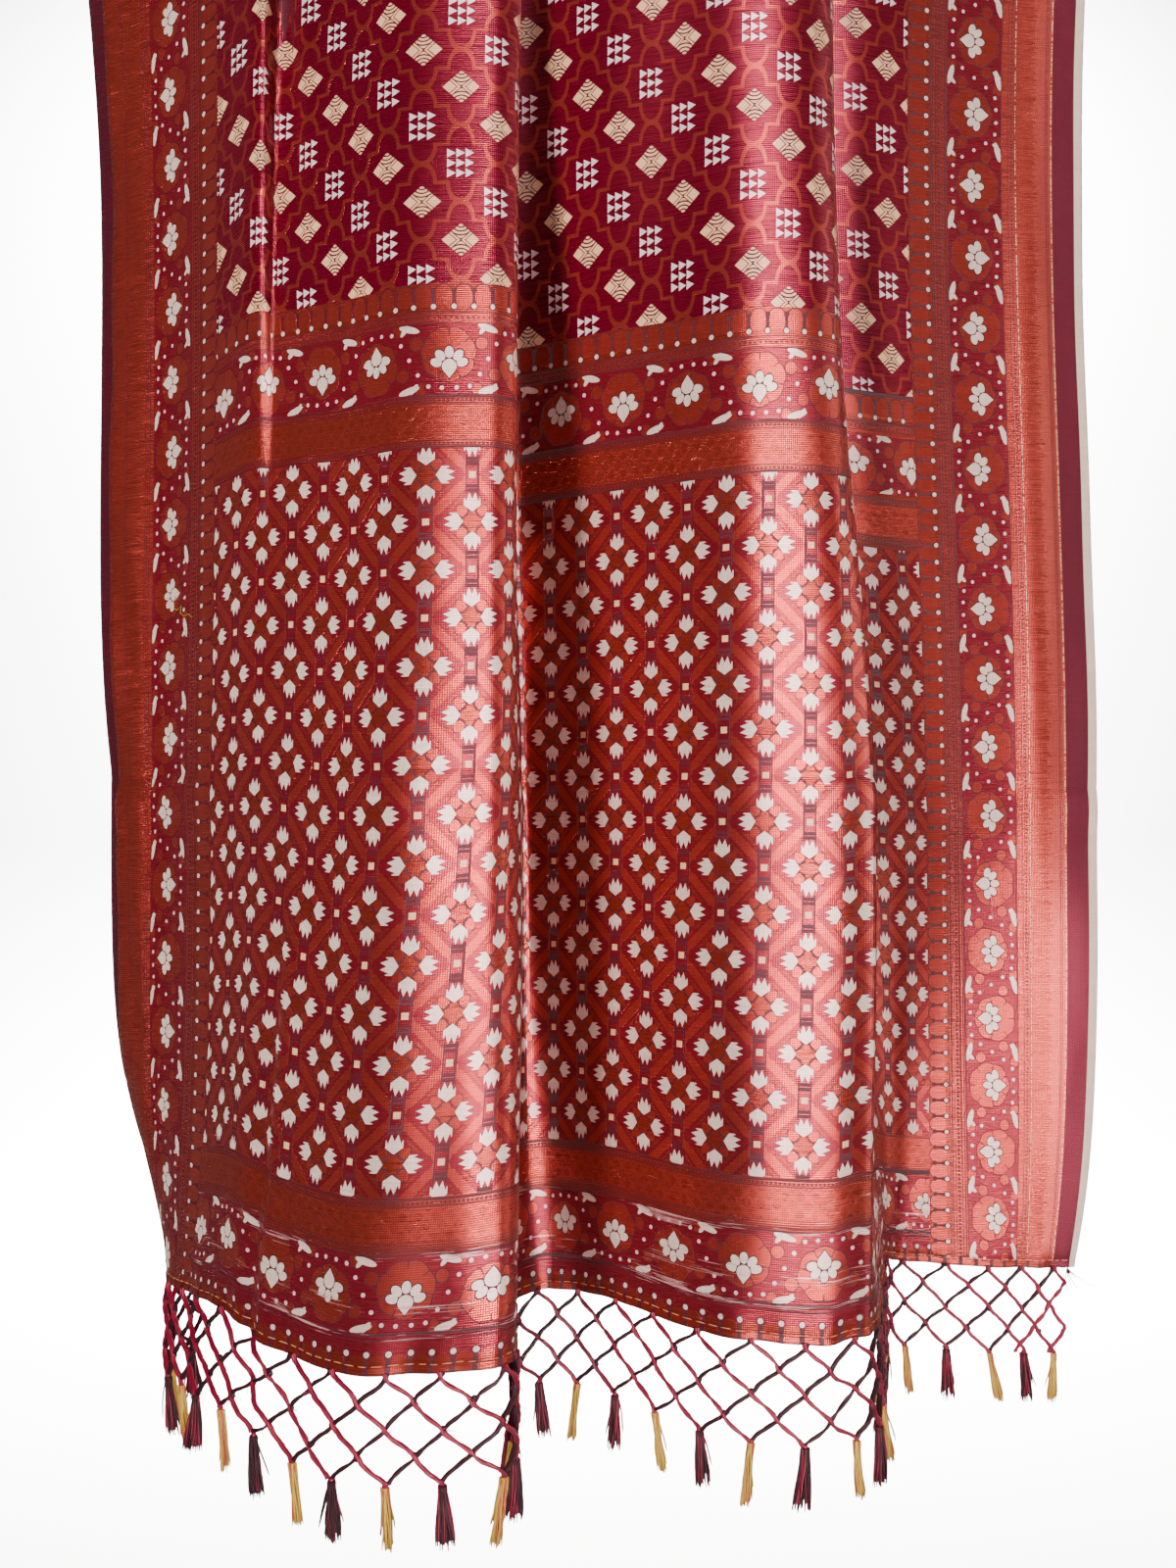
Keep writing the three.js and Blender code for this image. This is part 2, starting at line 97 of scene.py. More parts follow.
# Upright lines of the folded cloth, as the solids have them: u, the place and lift on the
# rod, the places at the top, middle and hem of the front drop, and how far the hem is raised.
FOLDS = np.array([
    # u   rod x lift   top x    y   mid x    y   hem x    y  drop late
    [0, -400, 0, -372, 55, -359, 55, -300, 95, 2, 1],
    [40, -360, 0, -343, 42, -337, 42, -314, 60, 4, 1],
    [79, -321, 0, -314, 30, -312, 31, -306, 24, 8, 1],
    [131, -269, 0, -266, -10, -264, -20, -282, -4, 12, 0.8],
    [165, -235, 1, -233, -40, -236, -47, -261, -30, 17, 0.4],
    [178, -222, 2, -223, -43, -224, -58, -252, -40, 18, 0.2],
    [190, -210, 3, -219, -30, -213, -66, -243, -50, 18, 0],
    [208, -193, 6, -204, -37, -196, -80, -230, -62, 15, 0],
    [240, -162, 14, -174, -50, -168, -98, -200, -84, 8, 0],
    [295, -109, 23, -124, -66, -120, -118, -149, -105, 5.5, 0],
    [349, -55, 24, -71, -76, -68, -127, -94, -116, 9, 0],
    [374, -30, 24, -48, -70, -47, -122, -67, -122, 12, 0],
    [386, -22, 18, -44, -58, -42, -112, -52, -121, 13, 0],
    [398, -30, 12, -55, -46, -42, -99, -46, -110, 12, 0],
    [440, -70, 12, -93, -36, -46, -60, -47, -75, 6, 0],
    [470, -98, 12, -118, -28, -49, -30, -50, -47, 2, 0],
    [480, -106, 6, -122, -19, -50, -20, -51, -37, 2, 0],
    [492, -98, 0, -110, -13, -51, -8, -52, -26, 1, 0],
    [540, -50, 0, -62, -16, -50, 32, -50, 18, -1, 0],
    [567, -23, 2, -35, -20, -29, 22, -28, 30, 1, 0],
    [621, 30, 8, 20, -40, 21, -10, 16, 10, 2, 0],
    [676, 83, 22, 73, -51, 69, -42, 62, -23, 0, 0],
    [730, 137, 24, 127, -58, 121, -63, 114, -47, 0, 0],
    [778, 184, 24, 167, -52, 166, -73, 160, -62, -1, 0],
    [792, 193, 18, 173, -38, 180, -69, 176, -60, 2, 0],
    [806, 184, 12, 162, -26, 191, -58, 190, -52, 2, 0],
    [845, 147, 12, 125, -15, 174, -26, 203, -18, -1, 0],
    [875, 119, 12, 97, -7, 158, 0, 211, 11, -1, 0],
    [886, 111, 6, 91, 2, 153, 10, 214, 22, -1, 0],
    [898, 119, 0, 104, 8, 155, 22, 217, 34, 0, 0],
    [945, 168, 0, 155, 4, 191, 46, 229, 78, 4, 0],
    [984, 209, 0, 197, 6, 226, 57, 243, 108, -7, 0],
    [1019, 246, 0, 236, 17, 260, 65, 274, 109, -10, 0],
    [1071, 300, 0, 291, 31, 311, 71, 323, 100, -10, 0],
    [1150, 382, 0, 371, 42, 390, 75, 380, 96, -9, 0.8],
], dtype=float)
FOLD_U, ROD_X, LIFT, TOP_X, TOP_Y, MID_X, MID_Y, HEM_X, HEM_Y, DROP, LATE = FOLDS.T
LEVELS = np.array([0.0, TOP_LEVEL, MID_LEVEL, FRONT_DROP])
LEVEL_X = np.array([ROD_X, TOP_X, MID_X, HEM_X])
LEVEL_Y = np.array([-(CROWN_RADIUS + LIFT), TOP_Y, MID_Y, HEM_Y])


# ------------------------------------------------------------------ the folded surface

def smooth_at(places, values, at):
    """A smooth curve through values at rising places, straight beyond the ends."""
    slope = np.gradient(values)
    slope[1:-1] = (values[2:] - values[:-2]) / (places[2:] - places[:-2])
    slope[0] = (values[1] - values[0]) / (places[1] - places[0])
    slope[-1] = (values[-1] - values[-2]) / (places[-1] - places[-2])
    k = np.clip(np.searchsorted(places, at, side="left") - 1, 0, len(places) - 2)
    span = places[k + 1] - places[k]
    t = (at - places[k]) / span
    rise = values[k + 1] - values[k]
    bend = slope[k] * span - rise
    unbend = rise - slope[k + 1] * span
    inside = values[k] + rise * t + t * (1 - t) * (bend * (1 - t) + unbend * t)
    before = values[0] + slope[0] * (at - places[0])
    after = values[-1] + slope[-1] * (at - places[-1])
    return np.where(t < 0, before, np.where(t > 1, after, inside))


def along_width(us, values):
    return smooth_at(FOLD_U, values, us)


def crown_points(us, angle):
    radius = CROWN_RADIUS + along_width(us, LIFT)
    return np.stack([along_width(us, ROD_X), radius * math.sin(angle), radius * math.cos(angle)], -1)


def front_points(us, v):
    """A row of the front drop, v below the rod, or a share of the rod's quarter turn if v < 0."""
    if v < 0:
        return crown_points(us, -(1 + v) * math.pi / 2)
    below = max(v - MID_LEVEL, 0) / (FRONT_DROP - MID_LEVEL)
    delay = (FRONT_DROP - MID_LEVEL) * (below - below**LATE_CURL)
    levels = v - LATE * delay
    xs = np.array([smooth_at(LEVELS, LEVEL_X[:, k], levels[k]) for k in range(len(FOLD_U))])
    ys = np.array([smooth_at(LEVELS, LEVEL_Y[:, k], levels[k]) for k in range(len(FOLD_U))])
    drop = along_width(us, DROP) * (v / FRONT_DROP) ** 2
    return np.stack([along_width(us, xs), along_width(us, ys), drop - v], -1)


BACK_SWING = 106.0  # how far back the fold at the bottom hangs
BACK_SKEW = 0.05
BACK_CURL = 0.6
BACK_OPENING = 2.2
BACK_NARROWING = 0.1
SWAY = 5.0
SWAY_LENGTH = 55.0
SWAY_DRIFT = 2.0


def back_points(us, v):
    """A row of the back drop, v below the rod, or a share of the rod's quarter turn if v < 0."""
    if v < 0:
        return crown_points(us, (1 + v) * math.pi / 2)
    share = v / BACK_DROP
    x = along_width(us, ROD_X)
    opened = along_width(us, LIFT) * (1 + BACK_OPENING * share)
    swing = (BACK_SWING + BACK_SKEW * (x + CLOTH_WIDTH / 3)) * share**BACK_CURL
    sway = SWAY * share * np.sin(x / SWAY_LENGTH + SWAY_DRIFT * share)
    y = CROWN_RADIUS + opened + swing + sway
    return np.stack([x * (1 - BACK_NARROWING * share), y, np.full_like(x, -v)], -1)


def outward(points, facing=1):
    """The unit normals of a grid of points, away from the rod."""
    down = np.gradient(points, axis=0)
    across = np.gradient(points, axis=1)
    normal = np.cross(down, across) * facing
    return normal / np.linalg.norm(normal, axis=-1, keepdims=True)


def hump(at, middle, half_width):
    """A smooth bump of height 1."""
    return np.exp(-(((at - middle) / half_width) ** 2))


# Soft troughs and ridges of the front drop, each along a straight line on the cloth:
# from (u, h) to (u, h), its half width, and its height towards the viewer.
CREASES = [
    # u     h     u     h   half  height
    (220, -150, 213, 330, 5, -3.5),
    (229, -150, 223, 330, 7, 2.5),
    (150, 760, 214, 790, 9, 2.4),
    (196, 1010, 214, 700, 7, -3.2),
    (214, 700, 205, 560, 9, -2.2),
    (240, 900, 330, 640, 22, 1.6),
    (262, 560, 352, 300, 26, -1.4),
    (215, 250, 300, 130, 14, 1.5),
    (230, 210, 330, 70, 12, -1.2),
    (205, 120, 260, 60, 10, -1.6),
    (590, 640, 560, 330, 16, 1.8),
    (640, 420, 606, 120, 20, -1.6),
    (700, 300, 740, 60, 24, 1.3),
    (560, 90, 660, 30, 9, 1.2),
    (1112, 880, 1110, 250, 12, 2.0),
    (1064, 170, 1060, 0, 3.5, -1.4),
    (1118, 90, 1120, 0, 3.5, -1.2),
    (20, 620, 60, 420, 16, 1.6),
    (10, 300, 48, 140, 12, -1.6),
    (70, 180, 110, 40, 14, 1.2),
]


CREASE_FADE = 0.3  # the share of a crease in which it fades out, at each end


def crease_relief(u, h):
    relief = np.zeros_like(u)
    for u0, h0, u1, h1, half_width, height in CREASES:
        along = np.array([u1 - u0, h1 - h0], float)
        length = np.linalg.norm(along)
        along /= length
        run = (u - u0) * along[0] + (h - h0) * along[1]
        aside = (u - u0) * along[1] - (h - h0) * along[0]
        ends = CREASE_FADE * length
        fade = np.clip(run / ends, 0, 1) * np.clip((length - run) / ends, 0, 1)
        relief += height * fade * hump(aside, 0, half_width)
    return relief


# Each pleat bows forward before its edge and turns back towards it: the middle of the bow
# across the cloth, its half width, and its height towards the viewer.
ROUNDINGS = [(302, 38, 7.5), (382, 16, -3.0), (714, 40, 7.5), (786, 18, -4.0)]


def rounding(u):
    """How far both front cloths bow forward."""
    return sum(height * hump(u, middle, half_width) for middle, half_width, height in ROUNDINGS)


def front_relief(u, h):
    """What the folds leave out: the pressed crease, soft creases, and the puckered hem.

    Heights are in millimetres, and a wave's length is 2 pi times what u or h is divided by.
    """
    aside = h - CREASE_HEIGHT - 1.2 * np.sin(u / 90)
    depth = 0.75 + 0.25 * np.sin(u / 37) + 0.2 * np.sin(u / 14 + 1)
    pressed = -1.5 * depth * np.exp(-np.abs(aside) / 3.2) + 2.2 * depth * hump(aside, -17, 15)
    pucker = hump(h, 2, 20) * (0.7 * np.sin(u / 5.3 + 1.7 * np.sin(u / 31)) + 0.5 * np.sin(u / 11))
    waves = 0.8 * np.sin(u / 47 + h / 160) + 0.6 * np.sin(u / 29 - h / 95 + 2)
    edge = hump(u, 0, 14) * np.sin(h / 23) * 0.9 + hump(u, CLOTH_WIDTH, 12) * np.sin(h / 31) * 0.7
    turned_up = 0.6 * (h < HEM_END - 0.2) - 0.3 * hump(h, HEM_END + 0.3, 0.8)
    return crease_relief(u, h) + pressed + pucker + waves + edge + rounding(u) + turned_up


# ------------------------------------------------------------------ materials

def linear(colour):
    """A colour given as sRGB hex, in linear values."""
    parts = [int(colour[k:k + 2], 16) / 255 for k in (1, 3, 5)]
    return [p / 12.92 if p <= 0.04045 else ((p + 0.055) / 1.055) ** 2.4 for p in parts] + [1.0]


def feed(tree, node, inputs):
    """Set a node's inputs to values, or link them."""
    for key, value in inputs.items() if isinstance(inputs, dict) else enumerate(inputs):
        if isinstance(value, Term):
            value = value.socket
        if isinstance(value, bpy.types.NodeSocket):
            tree.links.new(value, node.inputs[key])
        else:
            node.inputs[key].default_value = value


def add(tree, kind, inputs=(), **settings):
    """Add a node, with its settings and its inputs."""
    made = tree.nodes.new(kind)
    for name, value in settings.items():
        setattr(made, name, value)
    feed(tree, made, inputs)
    return made


class Term:
    """A value in a material. Python's own signs work on it, one Math node each."""

    def __init__(self, tree, socket):
        self.tree = tree
        self.socket = socket

    def math(self, operation, *others):
        made = add(self.tree, "ShaderNodeMath", (self, *others), operation=operation)
        return Term(self.tree, made.outputs[0])

    __add__ = __radd__ = partialmethod(math, "ADD")
    __sub__ = partialmethod(math, "SUBTRACT")
    __rsub__ = partialmethod(math, "MULTIPLY_ADD", -1.0)
    __mul__ = __rmul__ = partialmethod(math, "MULTIPLY")
    __truediv__ = partialmethod(math, "DIVIDE")
    __abs__ = partialmethod(math, "ABSOLUTE")
    __lt__ = partialmethod(math, "LESS_THAN")
    __gt__ = partialmethod(math, "GREATER_THAN")
    __and__ = partialmethod(math, "MINIMUM")
    __or__ = partialmethod(math, "MAXIMUM")
    __mod__ = partialmethod(math, "MODULO")

    def wrap(self, half):
        """The signed distance to the nearest whole multiple of 2 * half."""
        return self.math("WRAP", half, -half)

    def nearest(self, pitch):
        """How many whole pitches lie nearest to this place."""
        return (self / pitch + 0.5).math("FLOOR")

    def sine(self, wavelength):
        return (self * (2 * math.pi / wavelength)).math("SINE")

    def reach(self, other):
        """The length of the arrow with these two sides."""
        return (self * self + other * other).math("SQRT")

    def blend(self, other, share):
        return self + (other - self) * share


# Threads of the brocade: colour, metallic, roughness and how far they stand up, 0 to 1.
THREADS = {
    "copper": ("#96342B", 0.65, 0.28, 0.55),
    # The next two are painted highlight: lighter copper colours that stand in for the glare on the right
    # diaper border.
    "copper_painted_highlight": ("#AC463A", 0.65, 0.27, 0.65),
    "glint": ("#AE4A42", 0.6, 0.32, 0.7),
    "rust": ("#832C21", 0.6, 0.29, 0.45),
    "crimson": ("#780A28", 0.4, 0.29, 0.2),
    "ground": ("#6C0621", 0.5, 0.28, 0.2),
    "wine": ("#781824", 0.5, 0.29, 0.25),
    "dark": ("#4E0618", 0.0, 0.55, 0.05),
    "cream": ("#DCC6BA", 0.25, 0.38, 1.0),
    "pink": ("#EAD2D4", 0.25, 0.38, 1.0),
    "peach": ("#E5B68C", 0.15, 0.42, 0.95),
    "selvedge": ("#481824", 0.3, 0.5, 0.3),
    "ivory": ("#EFE6D8", 0.0, 0.78, 0.5),
    "jaal": ("#90362C", 0.65, 0.28, 0.5),
    "worn": ("#C08C8C", 0.0, 0.6, 0.9),
}

THREAD_PITCH = 1.4  # real threads lie 0.25 mm apart; drawn this coarse so that they show


def new_material(name):
    material = bpy.data.materials.new(name)
    material.use_nodes = True
    tree = material.node_tree
    shader = tree.nodes["Principled BSDF"]
    return material, tree, shader


def unevenness(tree, x, y, length, width, detail=2.0):
    """Uneven values about 0.5, with grains as long and as wide as the two sizes in millimetres."""
    place = add(tree, "ShaderNodeCombineXYZ", (x / length, y / width, 0.0))
    made = add(tree, "ShaderNodeTexNoise", {"Vector": place.outputs[0], "Scale": 1.0, "Detail": detail})
    return Term(tree, made.outputs["Fac"])


def layered(tree, colour, mask, thread, blend_type="MIX"):
    """The colour with a thread laid over it where the mask is 1."""
    made = add(tree, "ShaderNodeMix", {"Factor": mask, 6: colour, 7: thread},
               data_type="RGBA", blend_type=blend_type)
    return made.outputs[2]


def shaded(tree, colour, shade):
    """The colour made darker or lighter by the shade."""
    grey = add(tree, "ShaderNodeCombineXYZ", (shade, shade, shade)).outputs[0]
    return layered(tree, colour, 1.0, grey, "MULTIPLY")


# How far the slubs of the threads vary the metal, the roughness and the height of a weave.
SLUB_METAL = 0.16
SLUB_ROUGH = 0.14
SLUB_HEIGHT = 0.9
WEAVE_RELIEF = 0.0006  # in metres
MATERIALS = {}


def brocade(name, ground, pattern, origin=(0.0, 0.0), turned=False, mirrored=False, round_up=1.0, worn=()):
    """A woven material: the ground thread with the pattern's threads laid over it.

    pattern takes the place on the cloth in millimetres and gives a list of (mask, thread).
    round_up widens the place across the cloth, for the motifs that are woven narrower than
    they are tall. worn lists the heights where threads have come loose.
    """
    material, tree, shader = new_material(name)
    uv = add(tree, "ShaderNodeUVMap", uv_map="cloth")
    across = (-1000.0 if mirrored else 1000.0) * round_up
    place = add(tree, "ShaderNodeMapping", {
        "Vector": uv.outputs[0], "Location": (-origin[0] * across / 1000, -origin[1], 0.0),
        "Scale": (across, 1000.0, 1000.0)})
    split = add(tree, "ShaderNodeSeparateXYZ", (place.outputs[0],))
    x, y = Term(tree, split.outputs[0]), Term(tree, split.outputs[1])
    layers = pattern(y, x) if turned else pattern(x, y)
    hue, metal, rough, height = THREADS[ground]
    base = add(tree, "ShaderNodeRGB").outputs[0]
    base.default_value = linear(hue)
    colour = base
    slub = unevenness(tree, x, y, 30.0, 0.9, 3.0)
    metal = slub * SLUB_METAL + (metal - SLUB_METAL / 2)
    rough = slub * SLUB_ROUGH + (rough - SLUB_ROUGH / 2)
    height = slub * SLUB_HEIGHT + (height - 0.4)
    for mask, thread in layers:
        hue, thread_metal, thread_rough, thread_height = THREADS[thread]
        colour = layered(tree, colour, mask, linear(hue))
        metal = metal.blend(thread_metal, mask)
        rough = rough.blend(thread_rough, mask)
        height = height.blend(thread_height, mask)
    if worn:
        # Near these heights threads of the weft have come loose in long pale floats.
        distance = closest([abs(y - level) for level in worn])
        patch = unevenness(tree, x, y, 70.0, 14.0)
        loose = unevenness(tree, x, y, 34.0, 1.3, 3.5)
        floats = loose * 0.7 + patch * 0.5 > 0.66 + (distance & 9.0) * 0.016
        colour = layered(tree, colour, floats * 0.8, linear(THREADS["worn"][0]))
        height = height.blend(THREADS["worn"][3], floats)
    fade = unevenness(tree, x, y, 90.0, 140.0, 1.0)
    warp = unevenness(tree, x, y, 0.7, 30.0)
    colour = shaded(tree, colour, slub * 0.7 + fade * 0.2 + warp * 0.5 + 0.3)
    rib = y.sine(THREAD_PITCH) * 0.16 + x.sine(THREAD_PITCH) * 0.08
    bump = add(tree, "ShaderNodeBump", {
        "Strength": 0.6, "Distance": WEAVE_RELIEF, "Height": height + rib})
    feed(tree, shader, {
        "Base Color": colour, "Metallic": metal, "Roughness": rough, "Normal": bump.outputs[0],
        "Specular IOR Level": 0.25, "Sheen Weight": 0.03, "Sheen Roughness": 0.4})
    MATERIALS[name] = material


def closest(distances):
    """The smallest of the distances."""
    return reduce(operator.and_, distances)


def oval(x, y, middle, size, lean=0.0):
    """1 on the edge of an oval and less inside it; size is its half length and half width."""
    cosine, sine = math.cos(math.radians(lean)), math.sin(math.radians(lean))
    dx, dy = x - middle[0], y - middle[1]
    along = (dx * cosine + dy * sine) / size[0]
    aside = (dy * cosine - dx * sine) / size[1]
    return along.reach(aside)


FIELD_PITCH = 54.5
FIELD_RISE = 61.0
FIELD_START = 9.2  # from the middle of a cross up to the field's lower edge


def tulip_lattice(x, y):
    """The pallu's field: crosses of four tulips in diamonds, with ladders between them."""
    half_x, half_y = FIELD_PITCH / 2, FIELD_RISE / 2
    across = abs(x.wrap(half_x))
    up = abs((y + FIELD_START).wrap(half_y))
    squared = across * (half_y / half_x)
    other = squared + up > half_y
    a = squared.blend(half_y - squared, other)
    b = up.blend(half_y - up, other)
    outer, inner = a | b, a & b
    margin = (half_y - (a + b)) / math.sqrt(2)
    saw = abs((a - b).wrap(2.2)) * 0.36
    middle_tips = 18.8 - ((2.1 - inner) * 2.1 | (inner - 2.1) * 2.8)
    side_tip = 15.4 - abs(inner - 5.3) * 2.4
    flank = ((outer - 6.4) * 1.45) & 5.7
    tulip = (outer > 6.4) & (inner < flank) & (outer < (middle_tips | side_tip))
    halo = (outer > 12.5) & (outer < 24.0) & (inner < 12.4 - outer * 0.35)
    notch = (abs(outer - 11.8) < 1.6) & (abs(inner - 7.2) < 1.4)
    petal = ((a + b - 14.1) / 6.5).reach((a - b) / 5.2)
    near = across & (half_x - across)
    rung = up.blend(half_y - up, across < half_x / 2)
    ladder = (near < 4.3) & (rung < 13.0)
    bars = (abs(abs(rung - 9.0) - 1.5) < 1.1) & (near < 3.3)
    stamp = (near < 2.1) & (rung < 2.2)
    return [
        (margin < saw + 4.6, "wine"), (margin < saw + 2.6, "copper"), (halo, "wine"),
        (petal < 1.0, "copper"), (abs(petal - 1.0) < 0.1, "dark"),
        (abs(a + b - 8.8) < 0.65, "dark"), (notch, "wine"), (ladder, "wine"),
        (ladder & (bars | (abs(near - 3.8) < 0.5)), "dark"), (stamp, "peach"), (tulip, "cream"),
    ]


JAAL_PITCH = 23.5
JAAL_RISE = 54.2


def ogee_jaal(x, y):
    """The body: an ogee trellis that holds blocks of triangles and barred lozenges in turn."""
    column = x.nearest(JAAL_PITCH)
    dx = x - column * JAAL_PITCH
    level = y - 3.0 + column * (JAAL_RISE / 2)
    step = level.nearest(JAAL_RISE)
    dy = level - step * JAAL_RISE
    odd = abs(step) % 2.0 > 0.5
    ax, ay = abs(dx), abs(dy)
    quarter = JAAL_RISE / 4
    to_knot = JAAL_RISE / 2 - ay
    arch = (dx / 7.9).reach((quarter - to_knot) / quarter)
    curve = (abs(arch - 1) < 0.15) & (to_knot < quarter)
    bridge = (abs(to_knot - quarter) < 1.25) & (ax > 6.8)
    block = (ax < 8.5) & (ay < 10.6) & (1 - odd)
    cell = (dx + 8.5) % 5.67
    triangle = block & (abs(dy.wrap(3.55)) < (5.3 - cell) * 0.6)
    lozenge = (ax + ay < 11.6) & odd
    ring = ax.reach(11.6 - ay)
    grooves = ((ring + 0.3) % 2.65 < 1.05) & (ay > ax - 0.4)
    bars = (abs(ax - ay - 2.6) < 0.45) | (abs(ax - ay) < 0.4)
    return [
        (curve | bridge, "jaal"), (triangle, "pink"), (lozenge, "peach"),
        (lozenge & (grooves | bars), "dark"),
    ]


FLORAL_PITCH = 54.4
FLORAL_WIDTH = 49.0
DOTS = [(4.9, 5.0), (13.8, 6.0), (21.0, 14.0), (27.2, 24.5)]
PETALS = [(0.0, 9.6), (39.0, 9.6), (73.0, 9.0)]  # turn from upright, and distance from the heart
LEAVES = [
    # middle      half length and width, lean
    ((0.0, 3.6), (7.6, 2.3), 16.0),
    ((3.6, 4.6), (4.2, 1.6), 52.0),
    ((0.0, 45.4), (7.6, 2.3), -16.0),
    ((-3.6, 44.4), (4.2, 1.6), 52.0),
]
HEART = 19.4  # the middle of a flower, up the band
DISC = 27.6  # the middle of its medallion


def floral_band(along, across):
    """Medallions with a flower in each, by turns upright and upside down, with dots and leaves."""
    count = along.nearest(FLORAL_PITCH)
    flipped = abs(count) % 2.0 > 0.5
    s = abs(along - count * FLORAL_PITCH)
    t = across.blend(FLORAL_WIDTH - across, flipped)
    turn = s.math("ARCTAN2", t - DISC)
    disc = s.reach(t - DISC) - abs((turn * 3.5).math("SINE")) * 1.4
    rays = abs(turn.wrap(0.45)) < 0.025
    petals = []
    for lean, far in PETALS:
        angle = math.radians(lean)
        middle = (far * math.sin(angle), HEART + far * math.cos(angle))
        petals.append(oval(s, t, middle, (2.9, 4.0), -lean))
    petal = closest(petals)
    heart = s.reach(t - HEART)
    point = (t < HEART - 2.7) & (s < (t - HEART + 7.9) * 0.78)
    point_edge = (t < HEART - 2.7) & (s < (t - HEART + 9.1) * 0.81)
    dot = closest([(s - x).reach(t - y) for x, y in DOTS])
    run = (along - FLORAL_PITCH / 2).wrap(FLORAL_PITCH / 2)
    leaf = closest([oval(run, across, *shape) for shape in LEAVES])
    wreath = (s - 19.0).reach(t - 4.0)
    wreath_up = (s - 22.5).reach(t - 35.0)
    return [
        ((wreath < 4.2) | (wreath_up < 4.6), "copper"), (abs(wreath - 4.2) < 0.35, "dark"),
        (abs(wreath_up - 4.6) < 0.4, "dark"), (disc < 17.9, "dark"), (disc < 17.1, "copper"),
        ((disc > 12.5) & (disc < 17.1) & rays, "dark"), (dot < 3.1, "crimson"), (dot < 1.45, "cream"),
        ((petal < 1.24) | point_edge, "dark"), (petal < 1.0, "cream"), (heart < 5.6, "dark"),
        ((heart < 4.9) | point, "cream"), (leaf < 1.0, "cream"),
        ((across < 0.8) | (across > FLORAL_WIDTH - 0.8), "dark"),
    ]


def paisley_band(pitch):
    """A row of full paisleys with a dark stem between each two, and a dot at its foot."""
    def pattern(along, across):
        beside = abs(along.wrap(pitch / 2))
        apart = pitch / 2 - beside
        shoulder = apart.reach((across - 13.6) | 0.0)
        foot = (across - 5.0) * 0.5 + 4.6
        body = (shoulder < 6.1) & (apart < foot) & (across > 4.6)
        outline = (abs(shoulder - 6.1) < 0.45) & (across > 7.0)
        bulb = beside.reach(across - 15.0) < 1.9
        stem = (beside < ((1.8 - (across - 5.0) * 0.22) | 0.5)) & (across > 4.0) & (across < 15.0)
        dot = beside.reach(across - 4.0)
        return [
            (body, "copper"), (outline | bulb | stem, "dark"), (dot < 2.5, "dark"),
            (dot < 1.75, "cream"), ((across < 0.8) | (across > 20.2), "dark"),
        ]
    return pattern


def guard_band(width):
    """A narrow guard: fine lines with a row of beads between them."""
    def pattern(along, across):
        t = across * (10.0 / width)
        bead = along.wrap(1.7).reach(t - 5.0) < 1.1
        lines = (abs(abs(t - 5.0) - 4.0) < 0.4) | (abs(abs(t - 5.0) - 2.1) < 0.3)
        return [(bead | lines, "dark")]
    return pattern


TRELLIS_WIDTH = 35.0


def trellis_band(ruled):
    """Doubled lozenges with a small lozenge in each, between beaded lines.

    ruled is how wide a strip of plain fine lines lies along the lower edge.
    """
    def pattern(along, across):
        t = across - TRELLIS_WIDTH / 2
        inside = TRELLIS_WIDTH / 2 - abs(t)
        lozenge = abs(along.wrap(5.2)) / 5.2 + abs(t.wrap(6.0)) / 6.0
        lines = (abs(lozenge - 1.0) < 0.07) | (abs(abs(lozenge - 1.0) - 0.25) < 0.06)
        rim = inside < 6.0
        beads = along.wrap(1.5).reach(inside - 3.2) < 0.9
        rules = (abs(abs(inside - 3.2) - 2.0) < 0.35) | (abs(inside - 0.5) < 0.4)
        fine = (across < ruled) & (across.sine(1.7) > 0.55)
        return [
            (lines | (lozenge < 0.3), "copper"), (lozenge < 0.13, "dark"), (rim, "rust"),
            ((beads | rules) & (across > ruled), "dark"), (fine, "dark"),
        ]
    return pattern


def diaper_band(glints):
    """A close lattice of diamonds within diamonds, with fine lines on both sides.

    Where glints is true the outer half carries a painted highlight in lighter copper with glint rings, with
    a ragged border of loose floats and peach edge lines where it reaches furthest.
    """
    def pattern(along, across):
        diamond = abs(along.wrap(3.3)) / 3.3 + abs(across.wrap(3.3)) / 3.3
        rings = diamond.sine(0.5) > 0.1
        dashes = (along + across * 2).sine(3.2) * (along - across * 2).sine(3.2)
        weave = rings if glints else dashes > 0.12
        beaded = across - 36.5
        rules = (abs(abs(beaded) - 2.9) < 0.4) | (abs(across - 6.0) < 0.35) | (abs(across - 4.4) < 0.3)
        beads = along.wrap(1.6).reach(beaded) < 0.9
        if not glints:
            return [(weave, "rust"), (rules | beads, "dark")]
        # Painted highlight: how far in from the selvedge the glare reaches, with a ragged edge; the peach
        # edge lines show only where it reaches furthest.
        ragged = unevenness(along.tree, along, across, 1.6, 9.0, 3.0) * 26.0 + 3.0
        lines = (abs(across - 1.2) < 0.5) | (abs(across - 33.0) < 0.35)
        return [
            (across < ragged, "copper_painted_highlight"), (weave, "glint"),
            (weave & (across > ragged), "copper_painted_highlight"), (rules | beads, "dark"),
            (lines & (ragged > 15.5), "peach"),
        ]
    return pattern


STEM_PITCH = 13.8


def stem_row(along, across):
    """The row above the hem: dark stems that end in dots, and pale bodies between them."""
    beside = abs(along.wrap(STEM_PITCH / 2))
    body = (STEM_PITCH / 2 - beside).reach((across - 2.0) | 0.0) < 5.2
    dot = beside.reach(across - 7.6)
    stem = (beside < 1.5) & (across < 6.6)
    return [
        (body, "rust"), (stem, "dark"), (dot < 2.7, "dark"), (dot < 1.9, "cream"),
        ((abs(across - 16.2) < 0.4) | (across > 18.6), "dark"),
    ]


